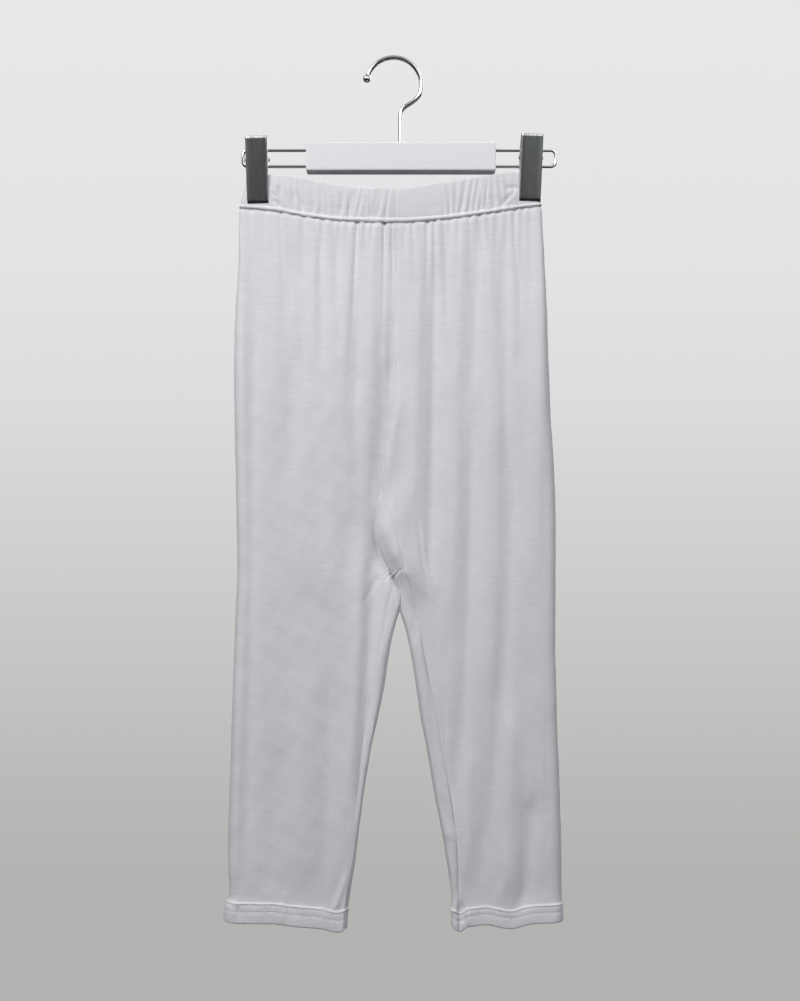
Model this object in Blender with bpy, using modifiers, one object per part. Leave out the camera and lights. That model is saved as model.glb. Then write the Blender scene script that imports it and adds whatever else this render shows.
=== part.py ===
"""Leggings on a clip hanger.

Metres, +Z up. The origin is where the hanger hangs: the inside of the hook, at its top. The front of the
leggings faces -Y, so the wearer's right leg lies at -X. Tables are in millimetres: "down" is the distance below
the origin, x is across.
"""

import math

import bmesh
import bpy
import numpy as np
from mathutils import Matrix, Vector

MM = 0.001
SEAM_GAP = 0.3  # between two sewn pieces
CLOTH = 1.2  # wall of the jersey
HEM_EXTRA = 0.8  # how far the turned-up hem thickens the wall, outwards and inwards alike
HEM_DEPTH = 20.0

# Hanger
WIRE_RADIUS = 2.05
HOOK_RADIUS = 26.2  # to the middle of the wire
HOOK_CENTRE_DOWN = HOOK_RADIUS - WIRE_RADIUS
STEM_X = 6.4
STEM_DEPTH = 3.6  # how far the stem goes into the bar
TIP_BALL_RADIUS = 3.6
BAR_CENTRE_X, BAR_TOP = 6.9, 80.4
BAR_SIZE = (179.5, 18.0, 27.0)
BAR_EDGE = 1.4
ROD_RADIUS = 1.4
LOOP_LEFT, LOOP_RIGHT = -143.2, 153.8
LOOP_TOP, LOOP_BOTTOM = 86.4, 101.7
LOOP_CORNER = 4.5
HOOK_FROM, HOOK_TO = 167, -14  # degrees, from the tip round to the back of the hook
HOOK_SHOULDER = ((24.3, -33.6), (20.6, -38.0), (15.2, -42.0), (9.8, -45.6), (7.2, -48.8), (STEM_X, -53.0))
CLIP_WIDTH, CLIP_HEIGHT = 21.0, 62.8
CLIP_STEEL = 1.0
CLIP_BITE = 3.8  # from the middle plane to a jaw's inner face at its lip
CLIP_SPREAD = 9.0  # the same at the finger end, up top
PIN_RADIUS, PIN_HEAD = 1.5, (2.3, 0.8)
PIN_DOWN = 20.3  # below the clip's top, between the rods
CLIPS = (
    {"name": "clip_right", "x": -129.2, "top": 74.8, "lean": 1.3},
    {"name": "clip_left", "x": 130.0, "top": 72.7, "lean": -2.0},
)
# How far each jaw's side flanges reach past the middle plane, or short of it, down the clip
FLANGE = {"down": (0.0, 4.0, 9.0, 31.2, 34.0, 35.5), "past": (-6.8, -3.0, 3.2, 3.2, -4.2, -5.0)}
FLANGE_LEAST = 0.2  # a jaw's flange is at least this deep behind its face

# Waistband
BAND_WALL = 3.0
BAND_LEVEL = 140.0  # the level whose depth the band has throughout
BAND_END_RADIUS = 3.4
BAND_BACK_DROP = 3.0  # the top edge hangs this much lower at the back
BAND_EDGE_ROUNDING = (0.5, 0.9)  # the top edge is thinner by this much outside and inside
RIDGE_PROUD, RIDGE_SLOPE = 1.3, (-0.4, 1.0)  # the ridge rises between these levels about its upper edge
CENTRE_X = 1.8  # front join of the band, top of the rise seam
FLAT_END_X = 46.5  # the band's ungathered stretch runs from the join to here
GATHER_PITCH = 5.6
GATHER_DEPTH = 0.8
GATHERS_START, GATHERS_END = (-118, -108), (110, 120)  # they fade in and out over these stretches of x
GATHER_UNEVEN = {"share": 0.25, "rate": 0.21, "front": 0.6, "back": 2.1}  # slow change of depth across

# The band's edges and the seam ridge under it, across the front
BAND_EDGE = {
    "x": (-150.0, -130.0, -109.0, -86.0, -52.0, -17.0, 1.8, 44.0, 78.0, 103.0, 119.0, 140.0, 152.0),
    "top": (109.8, 109.8, 110.2, 113.4, 120.9, 123.6, 123.6, 118.4, 113.3, 108.6, 107.3, 107.0, 107.0),
    "ridge_top": (138.0, 139.2, 141.4, 146.5, 151.0, 152.2, 152.4, 149.9, 145.6, 141.5, 138.7, 136.9, 136.5),
    "ridge_bottom": (141.3, 142.8, 145.4, 149.8, 154.4, 156.3, 156.6, 153.8, 148.9, 144.8, 142.0, 139.7, 139.2),
}
BAND_ENDS = {"down": (105.0, 122.0, 134.0, 142.0), "left": (-139.0, -141.0, -144.6, -146.2),
             "right": (137.8, 139.0, 139.6, 140.0)}
BAND_END_X = 120.0  # past this, either way, the band follows the line of its ends

# Level sections of each leg: the outer fold, the inner fold, and half the depth from front to back
RIGHT_LEG = {
    "down": (134, 193, 241, 290, 338, 387, 435, 474, 515, 555, 593, 624, 654, 702, 756, 795, 809, 832),
    "outer": (-146.6, -147.3, -150.3, -151.6, -151.1, -150.3, -149.1, -148.4, -149.6, -151.2, -152.8, -153.8,
              -154.8, -156.2, -157.4, -156.2, -159.9, -160.8),
    "inner": (150, 150, 150, 150, 150, 120, 60, 24, 8.3, -2.8, -8.4, -14.4, -21.2, -29.4, -36.2, -43.1, -44.8, -46.0),
    "half": (9, 10.5, 11.5, 12, 12.2, 12.5, 12.8, 13, 13, 13, 13, 12.8, 12.6, 12.2, 11.6, 10.6, 11, 11.2),
    "inseam": (40, 40, 40, 40, 40, 40, 40, 20, 8, -12.8, -21.2, -25.5, -29.2, -33.8, -38.7, -44.0, -45.5, -46.4),
}
LEFT_LEG = {
    "down": (134, 193, 241, 290, 338, 387, 435, 474, 515, 555, 593, 624, 654, 702, 756, 795, 809, 832),
    "outer": (139.8, 142.9, 145.7, 147.3, 149.1, 152.2, 153.9, 153.9, 153.8, 153.7, 154.4, 155.1, 156.2, 157.9,
              159.2, 159.6, 160.2, 160.6),
    "inner": (-150, -150, -150, -150, -150, -120, -50, -12, 3.0, 14.4, 20.9, 25.2, 31.0, 39.6, 49.6, 54.5, 55.0, 56.0),
    "half": (9, 10.5, 11.5, 12, 12.2, 12.5, 12.8, 13, 13, 13, 13, 12.8, 12.6, 12.2, 11.6, 10.6, 11, 11.2),
    "inseam": (-40, -40, -40, -40, -40, -40, -40, -20, 2, 27.0, 34.2, 40.7, 45.0, 54.5, 60.0, 61.0, 61.2, 61.2),
}
CROTCH_DOWN = 526.0  # lowest point of the rise seam, where the legs part
INSEAM_SETTLED_DOWN = 556.0  # from here down the inseam lies on the front of the leg
OUTER_TURN = (0.38, 0.5)  # the outer fold's reach as a share of the half depth, and what it gains further down
INNER_TURN = 0.5
HELD_FLAT, LENS_POWER = 0.38, 0.8  # share of the depth left by the clips, and how fast it opens between them
CLIP_EASE = 1.5  # it starts to open this far from a clip
FREE_BETWEEN = (150, 330)  # the clips' hold fades out over these levels
LEVELS_OUT = 150  # the waist seam's line fades out over this much of the leg
HEM_LINE_EASE = 60  # the hem's line fades in over this much
LAST_COLUMN = 12.0  # the back's columns end at least this far before the panel's edge

# The rise seam, seen from the front and at the back
RISE = {
    "down": (134, 276, 324, 348, 370, 390, 409, 419, 427, 438, 452, 463, 472, 483, 504, 526),
    "front": (1.8, 1.8, 2.8, -1.2, -4.8, -8.3, -9.9, -9.1, -6.0, -1.9, 3.1, 5.9, 8.4, 8.4, 7.0, 5.6),
    "back": (1.8, 2.0, 2.4, 2.8, 3.2, 3.6, 4.0, 4.2, 4.4, 4.6, 4.8, 5.0, 5.2, 5.4, 5.6, 5.6),
}

# The fold that stands over a valley from the rise down to the crotch, the leftward side of it steep
CREST = {
    "down": (240, 276, 302, 324, 348, 370, 390, 408, 421, 434, 445, 453, 462, 470, 481, 491, 512),
    "x": (1.8, 1.8, 2.8, 2.8, -1.2, -4.8, -8.3, -10.1, -13.2, -15.0, -16.7, -16.0, -13.2, -10.1, -5.0, -0.3, 4.0),
    "high": (0, 1, 2, 3, 4, 5, 6, 6.5, 6.5, 6.5, 6.5, 6.2, 5.6, 5, 3.6, 2, 0),
}

# Largest folds. Each runs from "start" to "end" down the cloth through three places across; "high" is how far
# it stands out (a trough is negative), "wide" is its half width. "x" is where the fold's left flank lies: its
# middle is FOLD_FLANK of the half width further right
FOLD_FLANK = 0.8
FOLD_FADE = (0.22, 0.8)  # it is full between these shares of its run
FOLDS = (
    {"side": "front", "start": 140, "end": 330, "x": (-7, -7, -4), "wide": 7, "high": -2.8},
    {"side": "front", "start": 430, "end": 735, "x": (-24, -31, -39), "wide": 8, "high": -4.2},
    {"side": "front", "start": 165, "end": 780, "x": (-26, -36, -50), "wide": 10, "high": 3.4},
    {"side": "front", "start": 150, "end": 820, "x": (-136, -139, -146), "wide": 7, "high": -2.6},
    {"side": "front", "start": 150, "end": 420, "x": (-105, -104, -102), "wide": 9, "high": -2.2},
    {"side": "front", "start": 190, "end": 620, "x": (-64, -66, -70), "wide": 12, "high": 2.0},
    {"side": "front", "start": 480, "end": 815, "x": (-72, -68, -77), "wide": 10, "high": -2.2},
    {"side": "front", "start": 200, "end": 440, "x": (12, 14, 12), "wide": 8, "high": 2.2},
    {"side": "front", "start": 150, "end": 520, "x": (31, 32, 27), "wide": 7, "high": -4.2},
    {"side": "front", "start": 280, "end": 560, "x": (47, 50, 42), "wide": 9, "high": 2.5},
    {"side": "front", "start": 300, "end": 740, "x": (66, 64, 48), "wide": 8, "high": -3.4},
    {"side": "front", "start": 280, "end": 640, "x": (86, 85, 80), "wide": 10, "high": 2.2},
    {"side": "front", "start": 330, "end": 815, "x": (105, 97, 72), "wide": 8, "high": -2.6},
    {"side": "front", "start": 600, "end": 815, "x": (103, 103, 103), "wide": 9, "high": 3.0},
    {"side": "front", "start": 690, "end": 815, "x": (126, 121, 115), "wide": 8, "high": -2.4},
    {"side": "back", "start": 170, "end": 620, "x": (-16, -24, -34), "wide": 11, "high": -4.0},
    {"side": "back", "start": 200, "end": 790, "x": (-60, -62, -72), "wide": 13, "high": 2.2},
    {"side": "back", "start": 150, "end": 700, "x": (-112, -108, -116), "wide": 12, "high": -2.0},
    {"side": "back", "start": 170, "end": 620, "x": (20, 30, 40), "wide": 11, "high": -4.0},
    {"side": "back", "start": 220, "end": 790, "x": (70, 74, 88), "wide": 13, "high": 2.0},
    {"side": "back", "start": 150, "end": 760, "x": (118, 120, 124), "wide": 11, "high": -2.0},
)

# Lower edge of each hem, across the front
RIGHT_HEM = {"x": (-161, -143, -117, -95, -69, -53, -45),
             "down": (816.7, 818.0, 818.0, 820.6, 822.8, 826.3, 824.1)}
LEFT_HEM = {"x": (55, 63, 69, 75, 87, 105, 111, 122, 132, 160),
            "down": (820.2, 825.5, 821.3, 820.3, 819.1, 822.4, 822.8, 820.3, 818.1, 817.0)}

LEG_ROWS = (0, 10, 26, 48, 76, 106, 136, 164, 190, 214, 236, 256, 274, 290, 305, 320, 334, 348, 361, 372, 380,
            388, 397, 410, 440, 480, 524, 566, 606, 636)  # distances below the waist seam, down to the top of the hem
FRONT_COLUMNS, FOLD_COLUMNS, BACK_COLUMNS, INNER_COLUMNS = 19, 4, 9, 5
LOOP_SAMPLES = 600  # points along a section before its columns are spaced out


def smoothstep(value, low, high):
    t = np.clip((value - low) / (high - low), 0.0, 1.0)
    return t * t * (3 - 2 * t)


def along(table, key, column, at):
    """A table's column, read between its rows on a smooth curve that does not overshoot."""
    xs, ys = np.array(table[key], float), np.array(table[column], float)
    at = np.clip(at, xs[0], xs[-1])
    slope = np.diff(ys) / np.diff(xs)
    inner = np.where(slope[:-1] * slope[1:] > 0, 2 * slope[:-1] * slope[1:] / (slope[:-1] + slope[1:] + 1e-12), 0.0)
    tangent = np.concatenate([slope[:1], inner, slope[-1:]])
    i = np.clip(np.searchsorted(xs, at, side="right") - 1, 0, len(xs) - 2)
    h = xs[i + 1] - xs[i]
    t = (at - xs[i]) / h
    return (
        (2 * t**3 - 3 * t**2 + 1) * ys[i]
        + (t**3 - 2 * t**2 + t) * h * tangent[i]
        + (3 * t**2 - 2 * t**3) * ys[i + 1]
        + (t**3 - t**2) * h * tangent[i + 1]
    )


def crest_relief(x, down):
    """The standing fold at the rise: a rounded crest, steep down into the valley on its left, gentle on its right."""
    high, crest = along(CREST, "down", "high", down), along(CREST, "down", "x", down)
    left, right = np.maximum(crest - x, 0), np.maximum(x - crest, 0)
    valley = smoothstep(left, 0.5, 6.0) * np.exp(-left / 16)
    return high * (0.35 * np.exp(-((left / 4) ** 2) - (right / 12) ** 2) - 1.2 * valley)


def fold_relief(side, x, down):
    """How far the folds push the cloth outwards at x, this far down."""
    relief = crest_relief(x, down) if side == "front" else np.zeros_like(x)
    for fold in FOLDS:
        if fold["side"] != side:
            continue
        t = np.clip((down - fold["start"]) / (fold["end"] - fold["start"]), 0, 1)
        first, middle, last = fold["x"]
        centre = (1 - t) * (1 - 2 * t) * first + 4 * t * (1 - t) * middle + t * (2 * t - 1) * last
        centre += FOLD_FLANK * fold["wide"]
        fade = smoothstep(t, 0.0, FOLD_FADE[0]) * (1 - smoothstep(t, FOLD_FADE[1], 1.0))
        relief += fold["high"] * fade * np.exp(-(((x - centre) / fold["wide"]) ** 2))
    return relief


def pinch(x, down):
    """Share of the full depth that the cloth has: the clips hold it flat at the top corners."""
    reach = CLIP_WIDTH / 2 + CLIP_EASE
    low, high = CLIPS[0]["x"] + reach, CLIPS[1]["x"] - reach
    between = np.clip((x - low) / (high - low), 0, 1)
    lens = HELD_FLAT + (1 - HELD_FLAT) * np.sin(math.pi * between) ** LENS_POWER
    return lens + (1 - lens) * smoothstep(down, *FREE_BETWEEN)


def loop_of(leg, down):
    """One level section of a leg's tube as a closed run of points: from the inner fold along the front to the
    outer fold and along the back to the inner fold again. It reaches past the middle above the crotch."""
    outer, inner = along(leg, "down", "outer", down), along(leg, "down", "inner", down)
    half = along(leg, "down", "half", down)
    sign = 1.0 if outer > inner else -1.0
    turn_outer = OUTER_TURN[0] * half + OUTER_TURN[1] * half * smoothstep(down, *FREE_BETWEEN)
    turn_inner = INNER_TURN * half
    start, stop = inner + sign * turn_inner, outer - sign * turn_outer
    quarter = np.linspace(0, math.pi / 2, 40)
    run = np.linspace(start, stop, LOOP_SAMPLES)[1:-1]
    x = np.concatenate([
        inner + sign * turn_inner * (1 - np.cos(quarter)),
        run,
        stop + sign * turn_outer * np.sin(quarter),
    ])
    rise = np.concatenate([np.sin(quarter), np.ones_like(run), np.cos(quarter)])
    depth = half * pinch(x, down)
    front = -(depth * rise + fold_relief("front", x, down) * rise**2)
    back = depth * rise + fold_relief("back", x, down) * rise**2
    points = np.concatenate([np.stack([x, front], 1), np.stack([x, back], 1)[::-1][1:]])
    marks = {"outer_start": len(quarter) + len(run), "outer_end": len(points) - len(quarter) - len(run),
             "inner_back": len(points) - len(quarter)}
    return points, marks, sign


def cut_of(points, sign, leg, down):
    """Where a panel starts and ends along its section, as distances along the loop, with the loop's lengths."""
    step = np.linalg.norm(np.diff(points, axis=0), axis=1)
    length = np.concatenate([[0.0], np.cumsum(step)])
    middle = len(points) // 2
    half_gap = SEAM_GAP / 2
    if down <= CROTCH_DOWN:
        front_x = along(RISE, "down", "front", down) + sign * half_gap
        back_x = along(RISE, "down", "back", down) + sign * half_gap
        start = np.interp(sign * front_x, sign * points[:middle, 0], length[:middle])
        end = np.interp(sign * back_x, sign * points[middle:, 0][::-1], length[middle:][::-1])
        return start, end, length
    seam_x = along(leg, "down", "inseam", down)
    settled = smoothstep(down, CROTCH_DOWN, INSEAM_SETTLED_DOWN)
    seam = np.interp(sign * seam_x, sign * points[:middle, 0], length[:middle]) * settled
    return seam + half_gap, length[-1] + seam - half_gap, length


def row_of(leg, down, columns):
    """A panel's row: evenly spaced points between its edges and the two folds, and the wall's direction there."""
    points, marks, sign = loop_of(leg, down)
    start, end, length = cut_of(points, sign, leg, down)
    total = length[-1]
    inner_back = min(length[marks["inner_back"]], end - LAST_COLUMN)
    stops = (start, length[marks["outer_start"]], length[marks["outer_end"]], inner_back, end)
    places = [np.linspace(a, b, n, endpoint=False) for a, b, n in zip(stops, stops[1:], columns)]
    places = np.concatenate(places + [[end]])
    looped = np.mod(places, total)
    x = np.interp(looped, length, points[:, 0])
    y = np.interp(looped, length, points[:, 1])
    ahead, behind = np.mod(places + 1.0, total), np.mod(places - 1.0, total)
    along_x = np.interp(ahead, length, points[:, 0]) - np.interp(behind, length, points[:, 0])
    along_y = np.interp(ahead, length, points[:, 1]) - np.interp(behind, length, points[:, 1])
    size = np.hypot(along_x, along_y)
    outward = np.stack([along_y, -along_x], 1) / size[:, None] * sign
    return np.stack([x, y], 1), outward


def leg_grids(leg, hem, columns):
    """Outer and inner points of a leg's panel, row by row from the waist seam to the hem's edge."""
    hem_top = float(np.mean(hem["down"])) - HEM_DEPTH
    waist = float(np.mean(BAND_EDGE["ridge_bottom"])) + SEAM_GAP
    rows = [(waist + step, 0.0) for step in LEG_ROWS if waist + step < hem_top - 8]
    rows += [(hem_top - 0.6, 0.0), (hem_top + 0.6, HEM_EXTRA), (hem_top + HEM_DEPTH, HEM_EXTRA)]
    outer, inner = [], []
    for down, extra in rows:
        flat, outward = row_of(leg, down, columns)
        seam = along(BAND_EDGE, "x", "ridge_bottom", flat[:, 0]) + SEAM_GAP - waist
        edge = along(hem, "x", "down", flat[:, 0]) - hem_top - HEM_DEPTH
        level = down + seam * (1 - smoothstep(down, waist, waist + LEVELS_OUT))
        level = level + edge * smoothstep(down, hem_top - HEM_LINE_EASE, hem_top)
        for grid, reach in ((outer, extra), (inner, -CLOTH - extra)):
            xy = flat + outward * reach
            grid.append(np.stack([xy[:, 0], xy[:, 1], -level], 1))
    return np.array(outer), np.array(inner)


def shell(name, outer, inner, finish, closed=False):
    """A closed wall between two grids of points with the same rows and columns."""
    rows, columns = outer.shape[:2]
    mesh = bmesh.new()
    grids = [[[mesh.verts.new(Vector(point) * MM) for point in row] for row in grid] for grid in (outer, inner)]
    across = range(columns if closed else columns - 1)
    for r in range(rows - 1):
        for c in across:
            d = (c + 1) % columns
            mesh.faces.new([grids[0][r][c], grids[0][r][d], grids[0][r + 1][d], grids[0][r + 1][c]])
            mesh.faces.new([grids[1][r][c], grids[1][r + 1][c], grids[1][r + 1][d], grids[1][r][d]])
    for c in across:
        d = (c + 1) % columns
        mesh.faces.new([grids[0][0][d], grids[0][0][c], grids[1][0][c], grids[1][0][d]])
        mesh.faces.new([grids[0][-1][c], grids[0][-1][d], grids[1][-1][d], grids[1][-1][c]])
    if not closed:
        for r in range(rows - 1):
            mesh.faces.new([grids[0][r][0], grids[0][r + 1][0], grids[1][r + 1][0], grids[1][r][0]])
            mesh.faces.new([grids[0][r + 1][-1], grids[0][r][-1], grids[1][r][-1], grids[1][r + 1][-1]])
    bmesh.ops.recalc_face_normals(mesh, faces=mesh.faces)
    return made(name, mesh, finish)


def made(name, mesh, finish):
    """The bmesh as an object of the part, smooth where its faces turn gently."""
    data = bpy.data.meshes.new(name)
    mesh.to_mesh(data)
    mesh.free()
    data.shade_smooth()
    data.set_sharp_from_angle(angle=math.radians(40))
    thing = bpy.data.objects.new(name, data)
    parts.objects.link(thing)
    thing.data.materials.append(finish)
    return thing


def material(name, colour, roughness, metallic=0.0):
    finish = bpy.data.materials.new(name)
    finish.use_nodes = True
    finish.diffuse_color = (*colour, 1)
    shader = finish.node_tree.nodes["Principled BSDF"]
    shader.inputs["Base Color"].default_value = (*colour, 1)
    shader.inputs["Roughness"].default_value = roughness
    shader.inputs["Metallic"].default_value = metallic
    return finish


def band_side(side, xs):
    """Half depth of the waistband at each x, gathers included."""
    half = along(RIGHT_LEG, "down", "half", BAND_LEVEL) * pinch(xs, BAND_LEVEL)
    gathered = np.ones_like(xs)
    if side == "front":
        from_join = smoothstep(xs, CENTRE_X - 1, CENTRE_X + 1)
        gathered = 1 - from_join * (1 - smoothstep(xs, FLAT_END_X - 1, FLAT_END_X + 2))
    gathered = gathered * smoothstep(xs, *GATHERS_START) * (1 - smoothstep(xs, *GATHERS_END))
    share = GATHER_UNEVEN["share"]
    uneven = 1 - share + share * np.sin(xs * GATHER_UNEVEN["rate"] + GATHER_UNEVEN[side])
    waves = GATHER_DEPTH * gathered * uneven * np.sin(2 * math.pi * xs / GATHER_PITCH)
    return half + waves


def waistband(finish):
    """The casing: one strip round the waist whose ends meet at the centre front, with the ridge at its lower
    edge. Its columns are close enough to carry the gathers."""
    gather_step = GATHER_PITCH / 2
    left, right = BAND_ENDS["left"][2], BAND_ENDS["right"][2]
    turn = BAND_END_RADIUS
    flat_middle = (CENTRE_X + FLAT_END_X) / 2
    front_left = np.arange(CENTRE_X - SEAM_GAP / 2, left + turn, -gather_step)
    front_right = np.arange(FLAT_END_X, right - turn, gather_step)
    front_right = np.concatenate([[CENTRE_X + SEAM_GAP / 2, flat_middle], front_right])
    back = np.arange(left + turn, right - turn, gather_step)
    angles = np.radians((-60, -30, 0, 30, 60))
    half_end = float(band_side("front", np.array([left + turn]))[0])
    route = [(x, -y, 0) for x, y in zip(front_left, band_side("front", front_left))]
    route += [(left + turn - turn * math.cos(a), half_end * math.sin(a), -1) for a in angles]
    route += [(x, y, 0) for x, y in zip(back, band_side("back", back))]
    route += [(right - turn + turn * math.cos(a), -half_end * math.sin(a), 1) for a in angles]
    route += [(x, -y, 0) for x, y in zip(front_right[::-1], band_side("front", front_right[::-1]))]
    route = np.array(route)
    ahead = np.roll(route[:, :2], -1, axis=0)
    behind = np.roll(route[:, :2], 1, axis=0)
    ahead[-1], behind[0] = route[-1, :2], route[0, :2]
    tangent = ahead - behind
    outward = np.stack([-tangent[:, 1], tangent[:, 0]], 1)
    outward /= np.linalg.norm(outward, axis=1)[:, None]
    flat = route[:, :2]
    top = along(BAND_EDGE, "x", "top", flat[:, 0])
    ridge_top = along(BAND_EDGE, "x", "ridge_top", flat[:, 0])
    ridge_bottom = along(BAND_EDGE, "x", "ridge_bottom", flat[:, 0])
    top = top + BAND_BACK_DROP * smoothstep(flat[:, 1], -4, 6)
    thinner_outside, thinner_inside = BAND_EDGE_ROUNDING
    levels = (
        (top, -thinner_outside, thinner_inside - BAND_WALL), ((top + ridge_top) / 2, 0.0, -BAND_WALL),
        (ridge_top + RIDGE_SLOPE[0], 0.0, -BAND_WALL), (ridge_top + RIDGE_SLOPE[1], RIDGE_PROUD, -BAND_WALL),
        (ridge_bottom, RIDGE_PROUD, -BAND_WALL),
    )
    outer, inner = [], []
    for down, outside, inside in levels:
        at_left = np.interp(down, BAND_ENDS["down"], np.array(BAND_ENDS["left"]) - left)
        at_right = np.interp(down, BAND_ENDS["down"], np.array(BAND_ENDS["right"]) - right)
        narrowing = at_left * (flat[:, 0] < -BAND_END_X) + at_right * (flat[:, 0] > BAND_END_X)
        for grid, reach in ((outer, outside), (inner, inside)):
            xy = flat + outward * reach
            grid.append(np.stack([xy[:, 0] + narrowing, xy[:, 1], -down], 1))
    return shell("waistband", np.array(outer), np.array(inner), finish)


def bevelled_wire(name, points, radius, finish, closed=False):
    """A round wire along points, as a curve."""
    curve = bpy.data.curves.new(name, "CURVE")
    curve.dimensions = "3D"
    curve.bevel_depth = radius * MM
    curve.bevel_resolution = 2
    curve.use_fill_caps = not closed
    spline = curve.splines.new("POLY")
    spline.points.add(len(points) - 1)
    for place, point in zip(spline.points, points):
        place.co = (*(Vector(point) * MM), 1)
    spline.use_cyclic_u = closed
    thing = bpy.data.objects.new(name, curve)
    parts.objects.link(thing)
    curve.materials.append(finish)
    return thing


def arc(centre, radius, first, last, steps):
    """Points on an arc in the plane of the hanger, from angle first to last in degrees."""
    angles = np.radians(np.linspace(first, last, steps))
    return [(centre[0] + radius * math.cos(a), 0.0, centre[1] + radius * math.sin(a)) for a in angles]


def as_mesh(curve_object):
    """The curve as a closed mesh that can be cut or joined."""
    graph = bpy.context.evaluated_depsgraph_get()
    data = bpy.data.meshes.new_from_object(curve_object.evaluated_get(graph))
    welded = bmesh.new()
    welded.from_mesh(data)
    bmesh.ops.remove_doubles(welded, verts=welded.verts, dist=0.00001)
    welded.to_mesh(data)
    welded.free()
    name, matrix = curve_object.name, curve_object.matrix_world.copy()
    bpy.data.objects.remove(curve_object)
    thing = bpy.data.objects.new(name, data)
    thing.matrix_world = matrix
    parts.objects.link(thing)
    return thing


def helper(thing):
    """Moves a cutter out of the part, unseen in a render."""
    for home in list(thing.users_collection):
        home.objects.unlink(thing)
    cutters.objects.link(thing)
    thing.hide_render = True
    thing.display_type = "WIRE"
    return thing


def boolean(thing, other, operation):
    step = thing.modifiers.new(operation.lower() + " " + other.name, "BOOLEAN")
    step.operation = operation
    step.object = other


def rod_cutter(name, radius, length, place, axis, sides=12):
    """A cylinder that clears a round bar of this radius by the seam gap all round."""
    bpy.ops.mesh.primitive_cylinder_add(
        vertices=sides, radius=(radius + SEAM_GAP) / math.cos(math.pi / sides) * MM, depth=length * MM,
        location=Vector(place) * MM, rotation=(0, math.pi / 2, 0) if axis == "X" else (0, 0, 0))
    cutter = bpy.context.object
    cutter.name = name
    return helper(cutter)


def hanger_hook(finish):
    """The wire: a round hook with a ball on its tip, bent back under itself into the straight stem."""
    centre = (0.0, -HOOK_CENTRE_DOWN)
    points = arc(centre, HOOK_RADIUS, HOOK_FROM, HOOK_TO, 22)
    points += [(x, 0.0, z) for x, z in HOOK_SHOULDER]
    points.append((STEM_X, 0.0, -(BAR_TOP + STEM_DEPTH)))
    hook = as_mesh(bevelled_wire("hanger_hook", points, WIRE_RADIUS, finish))
    hook.data.materials.clear()
    hook.data.materials.append(finish)
    bpy.ops.mesh.primitive_uv_sphere_add(
        segments=12, ring_count=8, radius=TIP_BALL_RADIUS * MM, location=Vector(points[0]) * MM)
    ball = bpy.context.object
    ball.name = "hook ball"
    boolean(hook, helper(ball), "UNION")
    hook.data.shade_smooth()
    return hook


def hanger_bar(finish, bores):
    """The wooden bar, its edges eased, bored for the stem and for both rods of the loop."""
    across, deep, high = BAR_SIZE
    bpy.ops.mesh.primitive_cube_add(size=1, location=Vector((BAR_CENTRE_X, 0, -BAR_TOP - high / 2)) * MM)
    bar = bpy.context.object
    bar.name = "hanger_bar"
    bar.data.transform(np_scale(across, deep, high))
    for home in list(bar.users_collection):
        home.objects.unlink(bar)
    parts.objects.link(bar)
    eased = bar.modifiers.new("eased edges", "BEVEL")
    eased.width, eased.segments = BAR_EDGE * MM, 2
    for bore in bores:
        boolean(bar, bore, "DIFFERENCE")
    bar.data.materials.append(finish)
    return bar


def np_scale(x, y, z):
    """A scaling matrix, from millimetres."""
    return Matrix.Diagonal((x * MM, y * MM, z * MM, 1))


def hanger_loop(finish):
    """Both rods and their rounded ends, one closed wire."""
    left, right = LOOP_LEFT + LOOP_CORNER, LOOP_RIGHT - LOOP_CORNER
    top, bottom = -LOOP_TOP - LOOP_CORNER, -LOOP_BOTTOM + LOOP_CORNER
    points = []
    for centre, first in (((right, top), 90), ((right, bottom), 0), ((left, bottom), -90), ((left, top), -180)):
        points += arc(centre, LOOP_CORNER, first, first - 90, 5)
    return bevelled_wire("hanger_loop", points, ROD_RADIUS, finish, closed=True)


def jaw(name, clip, facing, width, finish, bores):
    """One jaw of a clip: a steel channel whose flanges carry the pin and ride on the rods."""
    outer, inner = [], []
    for down in (*FLANGE["down"], CLIP_HEIGHT):
        share = down / CLIP_HEIGHT
        face = CLIP_SPREAD + (CLIP_BITE - CLIP_SPREAD) * share + CLIP_STEEL
        past = float(np.interp(down, FLANGE["down"], FLANGE["past"]))
        past = max(past, CLIP_STEEL + FLANGE_LEAST - face)
        side, wall = width / 2, width / 2 - CLIP_STEEL
        outer.append([(-side, past, -down), (-side, -face, -down), (side, -face, -down), (side, past, -down)])
        inner.append([(-wall, past, -down), (-wall, CLIP_STEEL - face, -down), (wall, CLIP_STEEL - face, -down),
                      (wall, past, -down)])
    turn = np.array((1.0, facing, 1.0))
    thing = shell(name, np.array(outer) * turn, np.array(inner) * turn, finish)
    thing.parent = clip
    for bore in bores:
        boolean(thing, bore, "DIFFERENCE")
    return thing


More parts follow.
